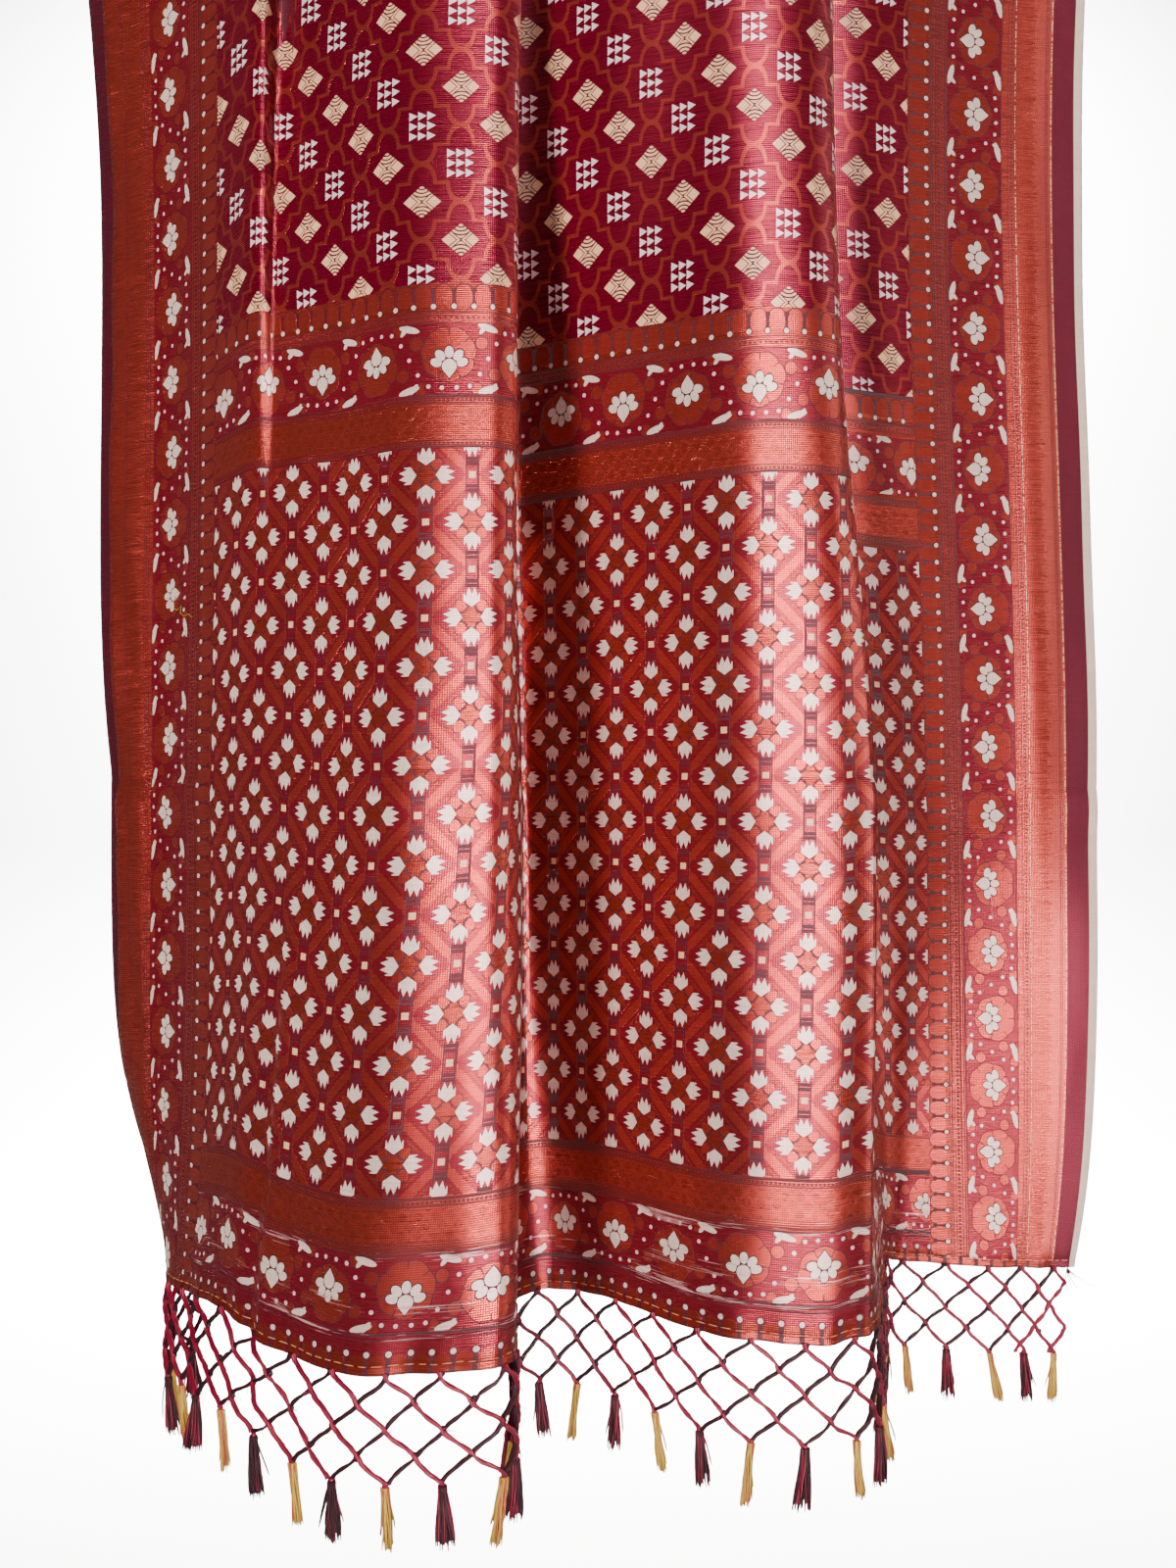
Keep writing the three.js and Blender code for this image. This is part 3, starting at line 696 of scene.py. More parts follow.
def hem_bars(along, across):
    """The hem turned over to the front, with the stems of the row above running down it."""
    beside = abs(along.wrap(STEM_PITCH / 2))
    return [(beside < 1.7, "dark"), (across < 0.7, "dark")]


def twill(along, across):
    """The dark selvedge's steep twill."""
    return [((along + across * 1.4).sine(2.4) > 0.1, "crimson")]


def cream_twill(along, across):
    """The cream selvedge's fine twill."""
    return [((along * 1.3 + across).sine(2.0) > 0.55, "peach")]


def reverse_floats(x, y):
    """The wrong side: dark ground with the pattern's loose threads lying across it."""
    floats = unevenness(x.tree, x, y, 9.0, 1.1, 3.0) > 0.56
    return [(floats, "ground")]


SQUEEZE = 1.12  # the bands' motifs are woven this much narrower than tall
REVERSE = "reverse_of_brocade"
CREAM_EDGE = "cotton_twill_cream_selvedge"
DARK_EDGE = "plain_woven_selvedge_right"

# Each woven material is named for what it is. All are drawn with threads far coarser than real.

# Undyed cotton: pale and quite matt beside the silk.
brocade(CREAM_EDGE, "ivory", cream_twill, turned=True)
# Plain dark silk in steep twill: a dull rim with a faint slanting rib.
brocade(DARK_EDGE, "selvedge", twill, turned=True)
# The wrong side: dark silk with loose floats, so the inside of the folds looks deep and flat.
brocade(REVERSE, "selvedge", reverse_floats)

# The side borders, inwards from each edge. Their bands run along the cloth, so they are turned.
SIDE_ZONES = [
    # ends at, material, ground thread, pattern left and right, squeeze, start left and right
    # Copper metal thread woven close: a shimmer like a ribbed ribbon, with a painted highlight on the outer
    # half at the right.
    (DIAPER_END, "metal_thread_diaper", "copper", diaper_band(False), diaper_band(True), SQUEEZE, 0, 0),
    # Wine silk with copper medallions and raised cream flowers: glints on a satin ground.
    (FLORAL_END, "brocade_floral_border", "wine", floral_band, floral_band, SQUEEZE, 20, 40),
    # Fine dark beads and lines on copper: a narrow glinting stripe.
    (GUARD_END, "brocade_guard", "copper", guard_band(12.0), guard_band(12.0), 1.0, 0, 0),
    # Copper paisleys outlined in dark silk on rust metal thread: warm, softly metallic.
    (BORDER_END, "brocade_paisley_border", "rust", paisley_band(13.0), paisley_band(13.0), SQUEEZE, 0, 6),
]
start = SELVEDGE_END
for end, name, ground, left, right, squeeze, low, high in SIDE_ZONES:
    brocade(f"{name}_left", ground, left, (start, low), turned=True, round_up=squeeze)
    brocade(f"{name}_right", ground, right, (CLOTH_WIDTH - start, high), True, True, squeeze)
    start = end

# The cross bands, upwards from the hem. Threads are worn loose at heights above a band's start.
CROSS_ZONES = [
    # ends at, material, ground thread, pattern, squeeze, start, worn heights
    # Doubled cloth sewn down: a stiffer rust bar with dark stems running over it.
    (HEM_END, "folded_hem_brocade", "rust", hem_bars, SQUEEZE, 131, ()),
    # Dark stems on wine silk, rubbed pale where the hem is handled.
    (STEM_ROW_END, "brocade_stem_row", "wine", stem_row, SQUEEZE, 131, (20.0,)),
    # The flowers of the side borders, frayed by long pale floats.
    (LOW_FLORAL_END, "brocade_floral_low", "wine", floral_band, SQUEEZE, 141, (1.0, 15.0, 48.0)),
    # Copper lozenges on rust: an even metallic net.
    (LOW_TRELLIS_END, "brocade_trellis_low", "rust", trellis_band(8.0), SQUEEZE, 0, (-2.0,)),
    # Cream tulips raised on rust metal thread: the brightest, most embossed field.
    (FIELD_END, "brocade_tulip_field", "rust", tulip_lattice, 1.0, 131, ()),
    # The same metallic net, the flowers, the beads and the paisleys, all unworn.
    (HIGH_TRELLIS_END, "brocade_trellis_high", "rust", trellis_band(0.0), SQUEEZE, 0, ()),
    (HIGH_FLORAL_END, "brocade_floral_high", "wine", floral_band, SQUEEZE, 141, ()),
    (HIGH_GUARD_END, "brocade_guard_high", "copper", guard_band(7.0), 1.0, 0, ()),
    (HIGH_PAISLEY_END, "brocade_paisley_high", "rust", paisley_band(13.66), SQUEEZE, 131, ()),
    # Maroon silk satin with small pink and peach floats: a smooth ground that takes the glare.
    (math.inf, "jacquard_ogee_body", "ground", ogee_jaal, 1.0, 131, ()),
]
start = 0.0
for end, name, ground, pattern, squeeze, along, worn in CROSS_ZONES:
    brocade(name, ground, pattern, (along, start), round_up=squeeze, worn=worn)
    start = end


def zone_name(u, h):
    """The material at a place in the weave."""
    if u > CLOTH_WIDTH:
        return CREAM_EDGE
    if u > CLOTH_WIDTH - SELVEDGE_END:
        return DARK_EDGE
    if h < HEM_END:
        return CROSS_ZONES[0][1]
    side = "left" if u < CLOTH_WIDTH / 2 else "right"
    for end, name, *_ in SIDE_ZONES:
        if min(u, CLOTH_WIDTH - u) < end:
            return f"{name}_{side}"
    return next(name for end, name, *_ in CROSS_ZONES if h < end)


# Where the cloth is pulled or slack its weave lies a little aside of the even width of the
# folded form: a place across the form, and the place in the weave that lies there.
WEAVE_SHIFTS = np.array([
    (-20, -20), (131, 131), (181, 185), (236, 240.5), (287, 294.5), (315.5, 321.8), (344, 349),
    (371, 376), (480, 480), (571, 566.5), (595, 594.2), (620, 621.5), (674, 676), (728, 730.5),
    (757.5, 757.8), (786, 785.5), (886, 884), (983, 976.5), (1006.5, 1003), (1019, 1018.5), (1160, 1160),
])
SLACK = 0.035  # the last panel's weave is this much closer together, upwards
SLACK_START = 886.0
SLACK_END = 945.0


def weave_place(us, hs):
    """Where the grid's points lie in the weave."""
    across = np.interp(us, WEAVE_SHIFTS[:, 0], WEAVE_SHIFTS[:, 1])
    grid_u, grid_h = np.meshgrid(across, hs)
    share = np.clip((us - SLACK_START) / (SLACK_END - SLACK_START), 0, 1)
    return grid_u, grid_h * (1 + SLACK * share[None, :])


def form_place(weave_us):
    """The places across the form of places in the weave."""
    return list(np.interp(weave_us, WEAVE_SHIFTS[:, 1], WEAVE_SHIFTS[:, 0]))


# ------------------------------------------------------------------ cloth pieces

def stepped(stops, steps):
    """Places from the first stop to the last, each stretch cut into steps no longer than its own."""
    places = [stops[0]]
    for start, end, step in zip(stops, stops[1:], steps):
        count = max(1, math.ceil((end - start) / step))
        places += [start + (end - start) * k / count for k in range(1, count + 1)]
    return np.array(places)


def set_out(name, data):
    """Put a new object with this mesh, curve, light or lens into the scene."""
    placed = bpy.data.objects.new(name, data)
    bpy.context.scene.collection.objects.link(placed)
    return placed


def mesh_object(name, bm, materials):
    mesh = bpy.data.meshes.new(name)
    bm.to_mesh(mesh)
    bm.free()
    for material in materials:
        mesh.materials.append(material)
    mesh.shade_smooth()
    return set_out(name, mesh)


def finish_piece(piece):
    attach(piece, "root")
    return piece


def woven_sheet(name, points, weave, flip=False, one_material=None):
    """A sheet of the saree: a flat grid laid on the points, with its place in the weave as its UV."""
    rows, columns = points.shape[:2]
    bm = bmesh.new()
    bmesh.ops.create_grid(bm, x_segments=columns - 1, y_segments=rows - 1, size=1.0)
    layer = bm.loops.layers.uv.new("cloth")
    place = {}
    for vert in bm.verts:
        column = round((vert.co.x + 1) / 2 * (columns - 1))
        row = round((vert.co.y + 1) / 2 * (rows - 1))
        place[vert.index] = Vector((weave[0][row, column], weave[1][row, column])) * MM
        vert.co = Vector(points[row, column]) * MM
    names = [one_material] if one_material else [n for n in MATERIALS if n != REVERSE]
    number = {material: k for k, material in enumerate(names)}
    for face in bm.faces:
        middle = sum((place[v.index] for v in face.verts), Vector((0, 0))) / 4 / MM
        face.material_index = 0 if one_material else number[zone_name(*middle)]
        for loop in face.loops:
            loop[layer].uv = place[loop.vert.index]
    if flip:
        bmesh.ops.reverse_faces(bm, faces=bm.faces)
    slots = [MATERIALS[n] for n in names] + [MATERIALS[REVERSE]] * len(names)
    piece = finish_piece(mesh_object(name, bm, slots))
    wall = piece.modifiers.new("cloth_thickness", "SOLIDIFY")
    wall.thickness = CLOTH_THICKNESS * MM
    wall.offset = 0.0
    wall.material_offset = len(names)
    wall.use_even_offset = False
    return piece


TURN_ROWS = 6


def crown_rows():
    return [-1 + k / TURN_ROWS for k in range(TURN_ROWS)]


def cloth_height(vs, total=FRONT_DROP):
    """How far above the hem each row lies on the flat cloth."""
    quarter = CROWN_RADIUS * math.pi / 2
    return np.array([total - v if v >= 0 else total - v * quarter for v in vs])


def surface_grid(row_of, us, vs, facing):
    """The points of a folded form, with their normals away from the rod."""
    points = np.array([row_of(us, v) for v in vs])
    return points, outward(points, facing)


# Places in the weave where the front cloth's columns and rows begin a new step, and the steps.
FRONT_COLUMNS = [
    # to, step
    (DIAPER_END, 6.4), (FLORAL_END, 5.5), (GUARD_END, 6), (BORDER_END, 6), (340, 6), (410, 4.4),
    (465, 7), (500, 4.4), (760, 6.4), (820, 4.4), (870, 7), (900, 4.4),
    (CLOTH_WIDTH - BORDER_END, 6), (CLOTH_WIDTH - GUARD_END, 6), (CLOTH_WIDTH - FLORAL_END, 6),
    (CLOTH_WIDTH - DIAPER_END, 5.5), (CLOTH_WIDTH - SELVEDGE_END, 6.4), (CLOTH_WIDTH, 6),
    (CLOTH_WIDTH + CREAM_SELVEDGE, 3.5),
]
FRONT_ROWS = [
    # to, step
    (0.8, 0.8), (HEM_END - 0.5, 4.4), (HEM_END, 0.5), (HEM_END + 0.7, 0.7), (STEM_ROW_END, 5),
    (LOW_FLORAL_END, 7), (LOW_TRELLIS_END, 7.2), (CREASE_HEIGHT - 24, 8), (CREASE_HEIGHT - 5, 5),
    (CREASE_HEIGHT + 5, 1.7), (CREASE_HEIGHT + 24, 5), (FIELD_END, 8), (HIGH_TRELLIS_END, 8.8),
    (HIGH_FLORAL_END, 8.2), (HIGH_GUARD_END, 7), (HIGH_PAISLEY_END, 7), (940, 8.5), (FRONT_DROP, 17),
]


def front_cloth():
    """The pallu's whole front drop, with its relief."""
    ends, steps = zip(*FRONT_COLUMNS)
    us = stepped([0] + form_place(ends), steps)
    ends, steps = zip(*FRONT_ROWS)
    vs = crown_rows() + [FRONT_DROP - h for h in stepped([0, *ends], steps)[::-1]]
    hs = cloth_height(vs)
    points, normal = surface_grid(front_points, us, vs, 1)
    points += normal * front_relief(*np.meshgrid(us, hs))[..., None]
    piece = woven_sheet("pallu_front_cloth", points, weave_place(us, hs), flip=True)
    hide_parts("pallu_front")
    return piece


# Where the folds turn sharply, across the form, so that the plain cloths' columns lie closer there.
TURNS = [340, 410, 465, 500, 760, 820, 870, 900]
INNER_SWAY = 0.4
INNER_SWAY_LENGTH = 61.0


def inner_front_cloth():
    """The plain end of the saree, just behind the pallu."""
    us = stepped([-INNER_SHIFT, 60, *TURNS, CLOTH_WIDTH - INNER_SHIFT], [6, 12, 5, 10, 5, 12, 5, 10, 5, 12])
    vs = crown_rows() + list(stepped([0, 700, 1060, 1150, INNER_DROP], [20, 12, 6, 8]))
    points, normal = surface_grid(front_points, us, vs, 1)
    grid_u, grid_v = np.meshgrid(us, vs)
    sway = INNER_SWAY * np.sin(grid_v / INNER_SWAY_LENGTH) * hump(grid_u, -INNER_SHIFT, 25)
    points += normal * (rounding(grid_u) - INNER_DEPTH - sway)[..., None]
    weave = np.meshgrid(us + INNER_SHIFT, cloth_height(vs, INNER_DROP))
    piece = woven_sheet("inner_front_cloth", points, weave, True, REVERSE)
    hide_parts("inner_front")
    return piece


# The back's two layers and the fold that joins them, from the outer face inwards.
BACK_OUTER = 0.6
BACK_MIDDLE = 1.5
BACK_INNER = 2.4
FOLD_FALL = 1.3


def back_cloth():
    """The long back drop, its bottom fold, and the drop that goes up again inside it."""
    us = stepped([0, 131, *TURNS, 1019, CLOTH_WIDTH], [12, 12, 5, 12, 5, 12, 5, 12, 5, 12, 12])
    vs = crown_rows() + list(stepped([0, BACK_DROP - BACK_MIDDLE], [16]))
    points, normal = surface_grid(back_points, us, vs, -1)
    outer = points - normal * BACK_OUTER
    inner = points - normal * BACK_INNER
    fold = points[-1:] - normal[-1:] * BACK_MIDDLE
    fold[..., 2] -= FOLD_FALL
    whole = np.concatenate([outer, fold, inner[::-1]])
    steps = np.linalg.norm(np.diff(whole[:, 0], axis=0), axis=1)
    hs = np.concatenate([[0.0], np.cumsum(steps)]) + FRONT_DROP + CROWN_RADIUS * math.pi / 2
    piece = woven_sheet("back_cloth", whole, np.meshgrid(us, hs))
    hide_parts("back_double")
    return piece


# ------------------------------------------------------------------ yarns

def front_spot(u, h, lift=0.0):
    """A point on the front cloth, lift in front of it."""
    us = np.array([u - 1.0, u, u + 1.0])
    vs = [FRONT_DROP - h - 1.0, FRONT_DROP - h, FRONT_DROP - h + 1.0]
    points = np.array([front_points(us, v) for v in vs])
    normal = outward(points)[1, 1]
    spot = points[1, 1] + normal * (lift + front_relief(np.array([float(u)]), np.array([float(h)]))[0])
    return spot, normal


def plain_material(name, colour, metallic, roughness, bump_size, grain):
    """A fibre or wood with its own fine unevenness."""
    material, tree, shader = new_material(name)
    place = add(tree, "ShaderNodeTexCoord").outputs["Object"]
    scaled = add(tree, "ShaderNodeMapping", {"Vector": place, "Scale": grain})
    fibre = Term(tree, add(tree, "ShaderNodeTexNoise", {
        "Vector": scaled.outputs[0], "Scale": 1000.0, "Detail": 3.0}).outputs["Fac"])
    tinted = shaded(tree, linear(colour), fibre * 0.7 + 0.62)
    bump = add(tree, "ShaderNodeBump", {"Strength": 0.5, "Distance": bump_size, "Height": fibre})
    feed(tree, shader, {
        "Base Color": tinted, "Normal": bump.outputs[0], "Metallic": metallic,
        "Roughness": roughness, "Specular IOR Level": 0.3})
    return material


FIBRE_GRAIN = (0.9, 0.9, 0.22)
MAROON = "dark_maroon_silk_yarn"
CRIMSON = "crimson_silk_yarn"
GOLD = "gold_metal_thread"
COPPER = "copper_metal_thread"
PEACH = "peach_sewing_thread"
PINK = "pink_silk_yarn"
YARN_LOOKS = {
    # name: colour, metallic, roughness, height of the fibres in metres
    # Loosely plied silk: the strands look deep and dull, nearly black between their plies.
    MAROON: ("#30030F", 0.2, 0.6, 0.0003),
    # The same silk dyed brighter: it picks the near strands out of the net.
    CRIMSON: ("#84082C", 0.2, 0.5, 0.0003),
    # Thread wrapped in gilt foil: a yellow glint along each tassel.
    GOLD: ("#BFA03A", 0.35, 0.42, 0.0003),
    # Copper foil on thread: redder, sharper glints at the bound heads.
    COPPER: ("#B0603C", 0.5, 0.42, 0.0003),
    # Spun sewing thread: a pale row of low, soft stitches.
    PEACH: ("#D89A68", 0.2, 0.5, 0.0002),
    # Pale loose silk: the few light ends that stray.
    PINK: ("#E08A98", 0.0, 0.55, 0.0002),
}
YARNS = {name: plain_material(name, *look, FIBRE_GRAIN) for name, look in YARN_LOOKS.items()}
YARN_NUMBER = {name: k for k, name in enumerate(YARNS)}


def yarn_piece(name, strands, sides=1):
    """Many yarns as one piece. A strand is (yarn, [(point in millimetres, radius)])."""
    curve = bpy.data.curves.new(name, "CURVE")
    curve.dimensions = "3D"
    curve.bevel_depth = 1.0
    curve.bevel_resolution = sides
    curve.use_fill_caps = True
    curve.resolution_u = 1
    for material in YARNS.values():
        curve.materials.append(material)
    for yarn, path in strands:
        spline = curve.splines.new("POLY")
        spline.points.add(len(path) - 1)
        for point, (place, radius) in zip(spline.points, path):
            point.co = (*(Vector(place) * MM), 1.0)
            point.radius = radius * MM
        spline.material_index = YARN_NUMBER[yarn]
        spline.use_smooth = True
    return finish_piece(set_out(name, curve))


def within_width(u):
    """The place of a strand that turns back at both ends of the hem."""
    mirrored = abs(u - HEM_INSET) + HEM_INSET
    far = CLOTH_WIDTH - HEM_INSET
    return min(mirrored, 2 * far - mirrored)


HEM_US = np.arange(0.0, CLOTH_WIDTH + 1.0, 2.0)
HEM_SPOTS = [front_spot(u, 0.0) for u in HEM_US]
HEM_POINTS = np.array([spot for spot, _ in HEM_SPOTS])
HEM_NORMALS = np.array([(normal[0], normal[1], 0.0) for _, normal in HEM_SPOTS])


def below_hem(u, drop, layer=0.0):
    """A point this far below the hem, layer in front of it."""
    spot = np.array([np.interp(u, HEM_US, HEM_POINTS[:, k]) for k in range(3)])
    facing = np.array([np.interp(u, HEM_US, HEM_NORMALS[:, k]) for k in range(3)])
    return spot + facing / np.linalg.norm(facing) * layer - np.array([0, 0, drop])


NET_PLACES = [(k + 0.5) * NET_PITCH for k in range(NET_POINTS)]
HALF_ROW = NET_DROP / NET_HALF_ROWS
POINTS_A_ROW = 6
FIRST_BOW = 0.9  # how strongly a strand bows between two knots: in the first half row, and below
LATER_BOW = 0.55
STRAND_SLACK = 1.2
STRAND_LAYER = 0.6  # how far a strand lies before or behind the net's middle
ROOT_DEPTH = 1.5  # how far up the strands start behind the hem
PLY_RADIUS = 1.2
PLY_TURN = 0.9  # how far the plies wind round each other from point to point
PLY_ASIDE = 0.8
PLY_DEPTH = 0.6
chance = random.Random(7)


def net_strand(root, way):
    """The middle line of one strand: it leaves the hem straight down and bows between the knots."""
    line = []
    for k in range(NET_HALF_ROWS * POINTS_A_ROW + 1):
        row = k / POINTS_A_ROW
        whole = math.floor(row)
        part = row - whole
        eased = part * part * (3 - 2 * part)
        bow = part + (eased - part) * (FIRST_BOW if whole == 0 else LATER_BOW)
        u = within_width(root + way * (whole + bow) * NET_PITCH / 2)
        slack = STRAND_SLACK * math.sin(math.pi * part) * math.sin(root + whole)
        drop = row * HALF_ROW + slack - (ROOT_DEPTH if k == 0 else 0.0)
        line.append((u, min(drop, NET_DROP), way * STRAND_LAYER))
    return line


def net_strands():
    """The net's strands, each of two or three plies, in two crossing layers."""
    strands = []
    for root in NET_PLACES:
        for way in (-1, 1):
            yarn = CRIMSON if way > 0 else MAROON
            line = net_strand(root + chance.uniform(-2, 2), way)
            plies = 3 if chance.random() < 0.5 else 2
            for ply in range(plies):
                path = []
                for k, (u, drop, layer) in enumerate(line):
                    turn = k * PLY_TURN + ply * 2 * math.pi / plies
                    place = below_hem(u, drop, layer + PLY_DEPTH * math.sin(turn))
                    place[0] += PLY_ASIDE * math.cos(turn)
                    path.append((place, PLY_RADIUS * chance.uniform(0.85, 1.15)))
                strands.append((yarn, path))
    return strands


END_STEPS = 7
END_TAPER = 0.06


def loose_end(start, heading, length, radius, curl):
    """A short end of yarn that curls as it goes."""
    path = []
    place = Vector(start)
    step = length / END_STEPS
    side = chance.uniform(-0.4, 0.4)
    for k in range(END_STEPS + 1):
        path.append((tuple(place), radius * (1 - END_TAPER * k)))
        turned = heading + curl * k / END_STEPS
        place = place + Vector((math.cos(turned), side * 0.6, math.sin(turned))) * step
    return path


def knot_places(row):
    """The places along the hem of a row of knots. Odd rows lie between the net's points."""
    odd = row % 2
    return [place + odd * NET_PITCH / 2 for place in NET_PLACES[:NET_POINTS - odd]]


BARE_KNOTS = 0.45  # the share of knots without loose ends


def knot_ends():
    """The short ends that stand out of the net's knots."""
    strands = []
    for row in range(1, NET_HALF_ROWS):
        for u in knot_places(row):
            if chance.random() < BARE_KNOTS:
                continue
            start = below_hem(u, row * HALF_ROW, 1.5)
            for _ in range(chance.choice((1, 2, 3))):
                yarn = chance.choice((CRIMSON, MAROON))
                heading = chance.uniform(-math.pi, 0.3)
                path = loose_end(start, heading, chance.uniform(4, 9), 0.3, chance.uniform(-2.5, 2.5))
                strands.append((yarn, path))
    return strands


def blob(bm, place, size, material_index, lean=0.0):
    """A small ball of yarn."""
    shape = Matrix.LocRotScale(Vector(place) * MM, Matrix.Rotation(lean, 3, "Y"), Vector(size) * MM)
    made = bmesh.ops.create_uvsphere(bm, u_segments=8, v_segments=6, radius=1.0, matrix=shape)
    for face in {f for v in made["verts"] for f in v.link_faces}:
        face.material_index = material_index


def net_knots():
    """The knots of the net, and those that tie its points to the hem."""
    bm = bmesh.new()
    for row in range(1, NET_HALF_ROWS):
        for u in knot_places(row):
            size = (1.9 * chance.uniform(0.8, 1.2), 1.7, 2.2 * chance.uniform(0.8, 1.3))
            blob(bm, below_hem(u, row * HALF_ROW), size, YARN_NUMBER[MAROON], chance.uniform(-0.5, 0.5))
    for root in NET_PLACES:
        blob(bm, below_hem(root, 0.2), (1.8, 1.3, 1.8), YARN_NUMBER[MAROON])
    return finish_piece(mesh_object("fringe_net_knots", bm, YARNS.values()))


STITCH = 6.6
STITCH_GAP = 1.5
STITCH_RADIUS = 0.34


def hem_stitches():
    """The running stitch that holds the folded hem down."""
    bm = bmesh.new()
    u = 2.0
    while u + STITCH < CLOTH_WIDTH:
        length = STITCH * chance.uniform(0.75, 1.2)
        height = HEM_END + 0.3 + chance.uniform(-0.35, 0.35)
        start, _ = front_spot(u, height, 0.55)
        end, _ = front_spot(u + length, height, 0.55)
        along = Vector(end - start)
        size = Vector((along.length / 2, STITCH_RADIUS, STITCH_RADIUS)) * MM
        middle = Vector((start + end) / 2) * MM
        shape = Matrix.LocRotScale(middle, along.to_track_quat("X", "Z"), size)
        bmesh.ops.create_uvsphere(bm, u_segments=6, v_segments=6, radius=1.0, matrix=shape)
        u += length + STITCH_GAP * chance.uniform(0.7, 1.3)
    stitches = mesh_object("hem_running_stitch", bm, [YARNS[PEACH]])
    return finish_piece(stitches)


TASSEL_THREADS = 44
TASSEL_STEPS = 7
THREAD_TURN = 2.4  # from one thread to the next, so that they fill the tassel evenly
THREAD_RADIUS = 0.62
TIP_RADIUS = 0.3
WILD_THREADS = 0.1  # the share of threads that are short and stand out
BINDING = 1.1  # the height of one turn of the yarn that binds a head
TASSELS = {
    # kind: radius and height of the bound head, how far it may lean, how wide it falls,
    # its two yarns, and the share of the second one
    "maroon": (3.2, 5.5, 0.09, 6.0, MAROON, CRIMSON, 0.4),
    "gold": (2.6, 8.0, 0.16, 3.4, GOLD, COPPER, 0.15),
}
BINDINGS = {"maroon": MAROON, "gold": COPPER}


def tassel(kind, u, number):
    """Where one tassel's head hangs and how it leans, and the threads falling from it."""
    top = below_hem(u, NET_DROP)
    radius, height, most_lean, width, yarn, other_yarn, other_share = TASSELS[kind]
    lean = chance.uniform(-most_lean, most_lean)
    bend = chance.uniform(-2.5, 2.5)
    length = TASSEL_LENGTH * chance.uniform(0.9, 1.0)
    spread = width * chance.uniform(0.85, 1.2)
    threads = []
    for k in range(TASSEL_THREADS):
        turn = k * THREAD_TURN + number
        out = math.sqrt((k + 0.5) / TASSEL_THREADS)
        wild = chance.random() < WILD_THREADS
        end = length * chance.uniform(0.84, 1.0) * (0.75 if wild else 1.0)
        flare = spread * out * (1.5 if wild else 1.0)
        path = []
        for step in range(TASSEL_STEPS + 1):
            share = step / TASSEL_STEPS
            fall = 1.0 + (end - 1.0) * share
            if fall < height:
                opened = radius * 0.86 * out
            else:
                opened = radius * 0.8 * out + (flare - radius * 0.8 * out) * share**1.3
            side = bend * share * share + lean * fall + 0.5 * math.sin(5 * share + k)
            place = top + np.array([math.cos(turn) * opened + side, math.sin(turn) * opened * 0.8, -fall])
            path.append((place, THREAD_RADIUS if step < TASSEL_STEPS else TIP_RADIUS))
        threads.append((other_yarn if chance.random() < other_share else yarn, path))
    return top, lean, threads


def tassels(kind, first):
    """All the tassels of one kind, every second one along the hem."""
    bm = bmesh.new()
    threads = []
    radius, height, *_ = TASSELS[kind]
    turns = height / BINDING
    numbers = range(first, NET_POINTS, 2)
    for k in numbers:
        top, lean, own = tassel(kind, NET_PLACES[k], k)
        threads += own
        for ring in range(int(turns)):
            drop = 1.4 + ring * BINDING
            place = (top[0] + lean * drop, top[1], top[2] - drop)
            swell = radius * (0.72 + 0.28 * math.sin(math.pi * min(1.0, (ring + 1.5) / turns)))
            blob(bm, place, (swell, swell * 0.9, 0.85), YARN_NUMBER[BINDINGS[kind]])
        blob(bm, (top[0], top[1], top[2] - 0.3), (1.9, 1.7, 1.9), YARN_NUMBER[CRIMSON])
    heads = finish_piece(mesh_object(f"tassel_heads_{kind}", bm, YARNS.values()))
    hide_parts(*[f"tassel_{k + 1:02d}" for k in numbers])
    return [heads, yarn_piece(f"tassel_threads_{kind}", threads, 0)]


def on_cloth(line, lift, radius):
    """A thread that lies on the front cloth along places (u, h)."""
    return [(front_spot(u, h, lift)[0], radius) for u, h in line]


def loose_threads():
    """Ends of yarn that have come loose on the cloth and at its corners."""
    curl = [
        (86, 507), (83, 504), (84, 499), (88, 497), (93, 499), (92, 494), (96, 491), (102, 491), (106, 488),
    ]
    strands = [
        (GOLD, on_cloth(curl, 0.8, 0.32)),
        (PINK, on_cloth([(1072, 292), (1073, 286), (1072.5, 279), (1074, 272)], 0.6, 0.22)),
    ]
    corner = below_hem(CLOTH_WIDTH - 2, 0.0, 1.0)
    for heading, length in ((-1.9, 17), (-1.6, 13), (-1.3, 19), (-1.1, 11), (-0.8, 14)):
        strands.append((MAROON, loose_end(corner, heading, length, 0.5, 0.5)))
    strands.append((PINK, loose_end(corner, -0.9, 26, 0.28, 0.9)))
    left = below_hem(6.0, 2.0, 1.0)
    for heading, length in ((2.2, 12), (2.5, 15), (2.8, 11), (3.1, 13), (1.9, 9)):
        strands.append((CRIMSON, loose_end(left, heading, length, 0.4, -0.7)))
    return yarn_piece("loose_threads", strands)


WOOD_GRAIN = (0.02, 0.5, 0.5)
EASED_EDGE = 1.5


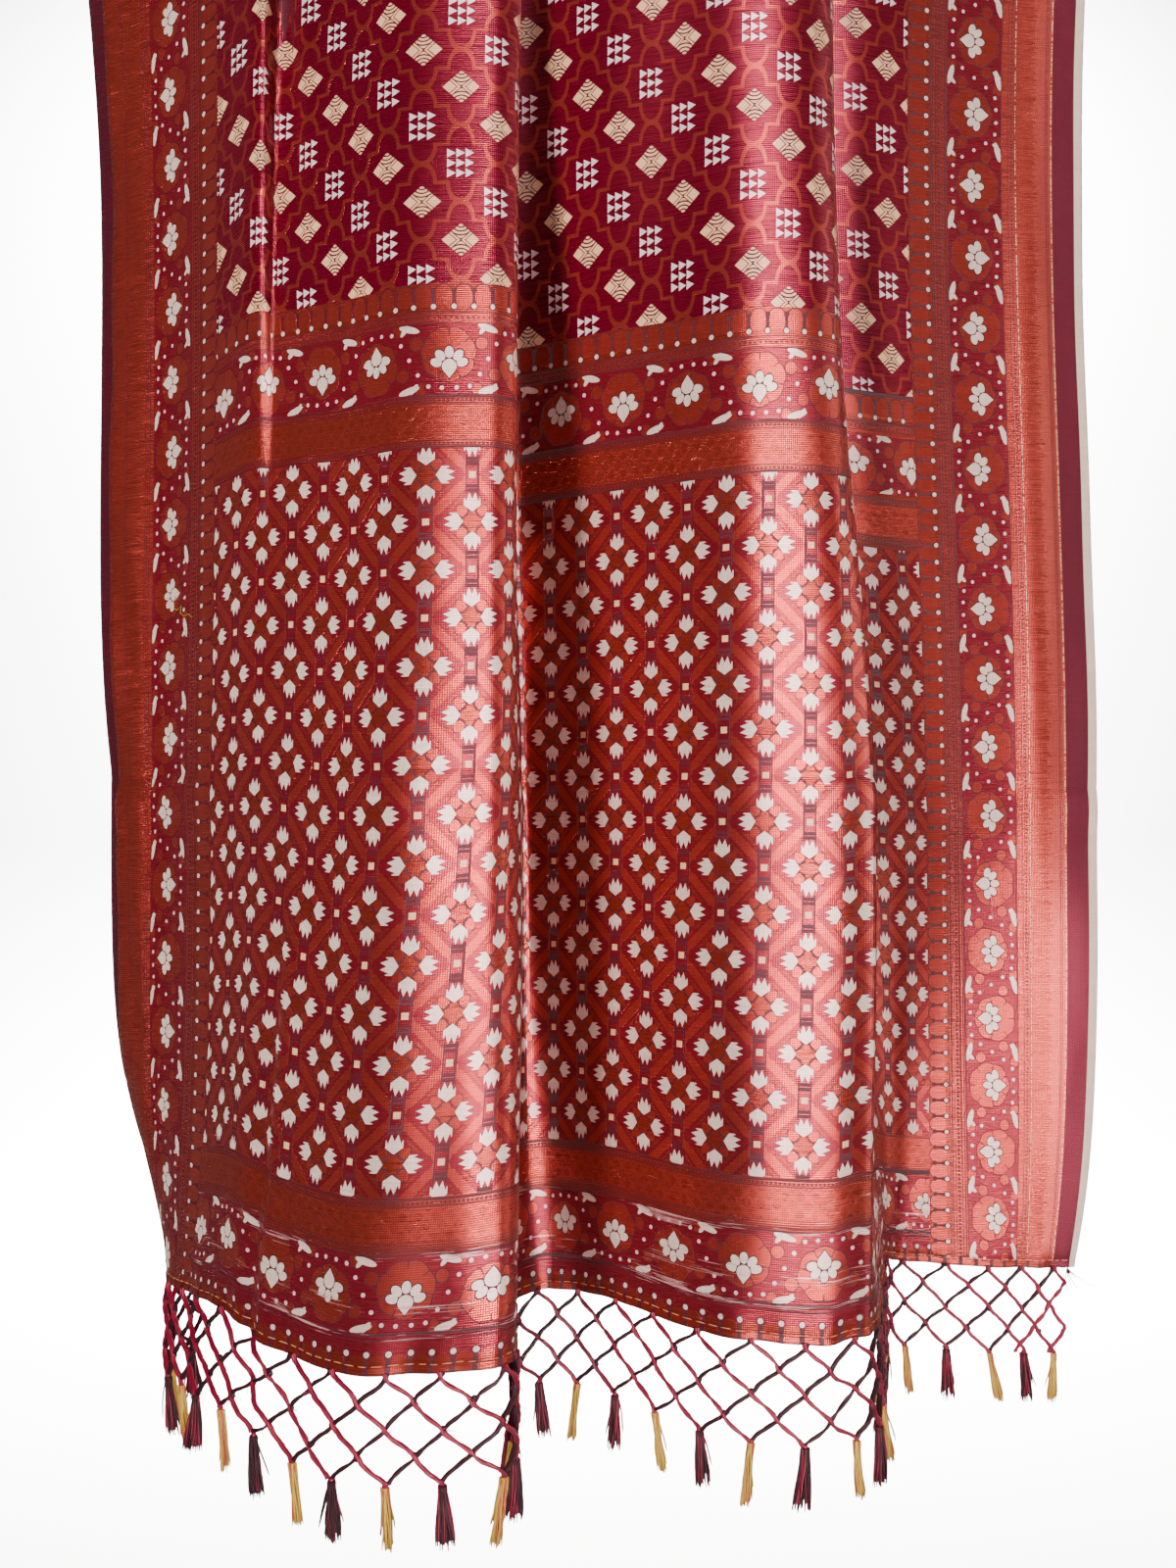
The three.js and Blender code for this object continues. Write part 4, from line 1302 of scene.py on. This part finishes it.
def rod():
    """The turned beech rod, with its ends eased."""
    # Oiled beech: pale, half matt, with a grain along the rod.
    material = plain_material("beech_wood", "#C79B6B", 0.0, 0.5, 0.0002, WOOD_GRAIN)
    bm = bmesh.new()
    lying = Matrix.Rotation(math.pi / 2, 4, "Y")
    radius = ROD_RADIUS * MM
    bmesh.ops.create_cone(bm, cap_ends=True, segments=64, radius1=radius, radius2=radius,
                          depth=ROD_LENGTH * MM, matrix=lying)
    rims = [edge for edge in bm.edges if any(len(face.verts) > 4 for face in edge.link_faces)]
    bmesh.ops.bevel(bm, geom=rims, offset=EASED_EDGE * MM, offset_type="OFFSET", affect="EDGES",
                    segments=3, profile=0.5, material=-1)
    piece = finish_piece(mesh_object("beech_rod", bm, [material]))
    piece.data.set_sharp_from_angle(angle=math.radians(40))
    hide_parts("rod")
    return piece


# ------------------------------------------------------------------ stage, light and camera

LIGHTS = [
    # name, place, where it points, width and height, watts, colour, spread in degrees,
    # whether it lights matt surfaces, and whether it shows in glossy ones
    ("window_light", (1.9, -0.45, -0.95), (0.05, 0, -1.05), (0.5, 2.2), 6, "#FFEFEA", 60, True, True),
    ("strip_light", (0.22, -1.5, -0.85), (0.05, 0, -0.85), (0.12, 2.4), 36, "#FFE2EA", 70, False, True),
    ("key_light", (-0.75, -1.5, -0.6), (0, 0, -0.85), (0.25, 0.8), 46, "#FFF4F0", 180, True, False),
    ("wall_light", (0, 1.4, 2.3), (0, 3.2, -0.1), (3.8, 0.8), 2000, "#FFFFFF", 100, True, False),
    ("floor_light", (0, 2.1, 1.4), (0, 2, -2.1), (3.4, 0.8), 1000, "#FFFFFF", 80, True, False),
]


def soft_light(name, place, target, size, power, colour, spread, matt, gloss):
    light = bpy.data.lights.new(name, "AREA")
    light.shape = "RECTANGLE"
    light.size, light.size_y = size
    light.energy = power
    light.spread = math.radians(spread)
    light.color = linear(colour)[:3]
    holder = set_out(name, light)
    holder.visible_diffuse = matt
    holder.visible_glossy = gloss
    holder.location = place
    aim = Vector(target) - Vector(place)
    holder.rotation_euler = aim.to_track_quat("-Z", "Y").to_euler()


FLOOR_LEVEL = -2.1
WALL_PLACE = 3.2
HALF_WIDTH = 6.0
BEND = 0.9
BEND_STEPS = 10


def studio():
    """A sheet of pale paper that bends up behind the saree, the air, and the lights."""
    # Unglazed paper: even and quite matt, so it shows as plain white ground.
    material, tree, shader = new_material("matt_studio_paper")
    feed(tree, shader, {"Base Color": linear("#BEBDBC"), "Roughness": 0.9})
    line = [(-5.0, FLOOR_LEVEL)]
    for k in range(BEND_STEPS + 1):
        turn = k / BEND_STEPS * math.pi / 2
        line.append((WALL_PLACE - BEND + BEND * math.sin(turn), FLOOR_LEVEL + BEND - BEND * math.cos(turn)))
    line.append((WALL_PLACE, 5.0))
    bm = bmesh.new()
    edge = [bm.verts.new((-HALF_WIDTH, y, z)) for y, z in line]
    edges = [bm.edges.new(pair) for pair in zip(edge, edge[1:])]
    swept = bmesh.ops.extrude_edge_only(bm, edges=edges)["geom"]
    moved = [g for g in swept if isinstance(g, bmesh.types.BMVert)]
    bmesh.ops.translate(bm, verts=moved, vec=(2 * HALF_WIDTH, 0, 0))
    bmesh.ops.recalc_face_normals(bm, faces=bm.faces)
    floor_piece = mesh_object("studio_floor", bm, [material])
    floor_piece.visible_glossy = False  # so that the paper puts no haze on the cloth's turned sides
    world = bpy.data.worlds.new("studio_air")
    world.use_nodes = True
    air = world.node_tree.nodes["Background"]
    air.inputs["Color"].default_value = linear("#F4F5F8")
    air.inputs["Strength"].default_value = 0.05
    bpy.context.scene.world = world
    for row in LIGHTS:
        soft_light(*row)


CAMERA_PLACE = (0.0, -0.85, -1.10)
CAMERA_PITCH = math.atan(30 / 1209)
SENSOR_HEIGHT = 36.0
FOCAL_LENGTH = SENSOR_HEIGHT * 1209 / 1600


def camera():
    lens = bpy.data.cameras.new("camera")
    lens.sensor_width = SENSOR_HEIGHT
    lens.lens = FOCAL_LENGTH
    lens.clip_start = 0.05
    holder = set_out("camera", lens)
    holder.location = CAMERA_PLACE
    holder.rotation_euler = (math.pi / 2 + CAMERA_PITCH, 0.0, 0.0)
    bpy.context.scene.camera = holder


# ------------------------------------------------------------------ the whole

pallu = front_cloth()
inner = inner_front_cloth()
back = back_cloth()
net = yarn_piece("fringe_net_yarns", net_strands() + knot_ends())
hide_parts("fringe_net")
trimmings = [net, net_knots(), *tassels("maroon", 0), *tassels("gold", 1), hem_stitches(), loose_threads()]
rod()
studio()
camera()
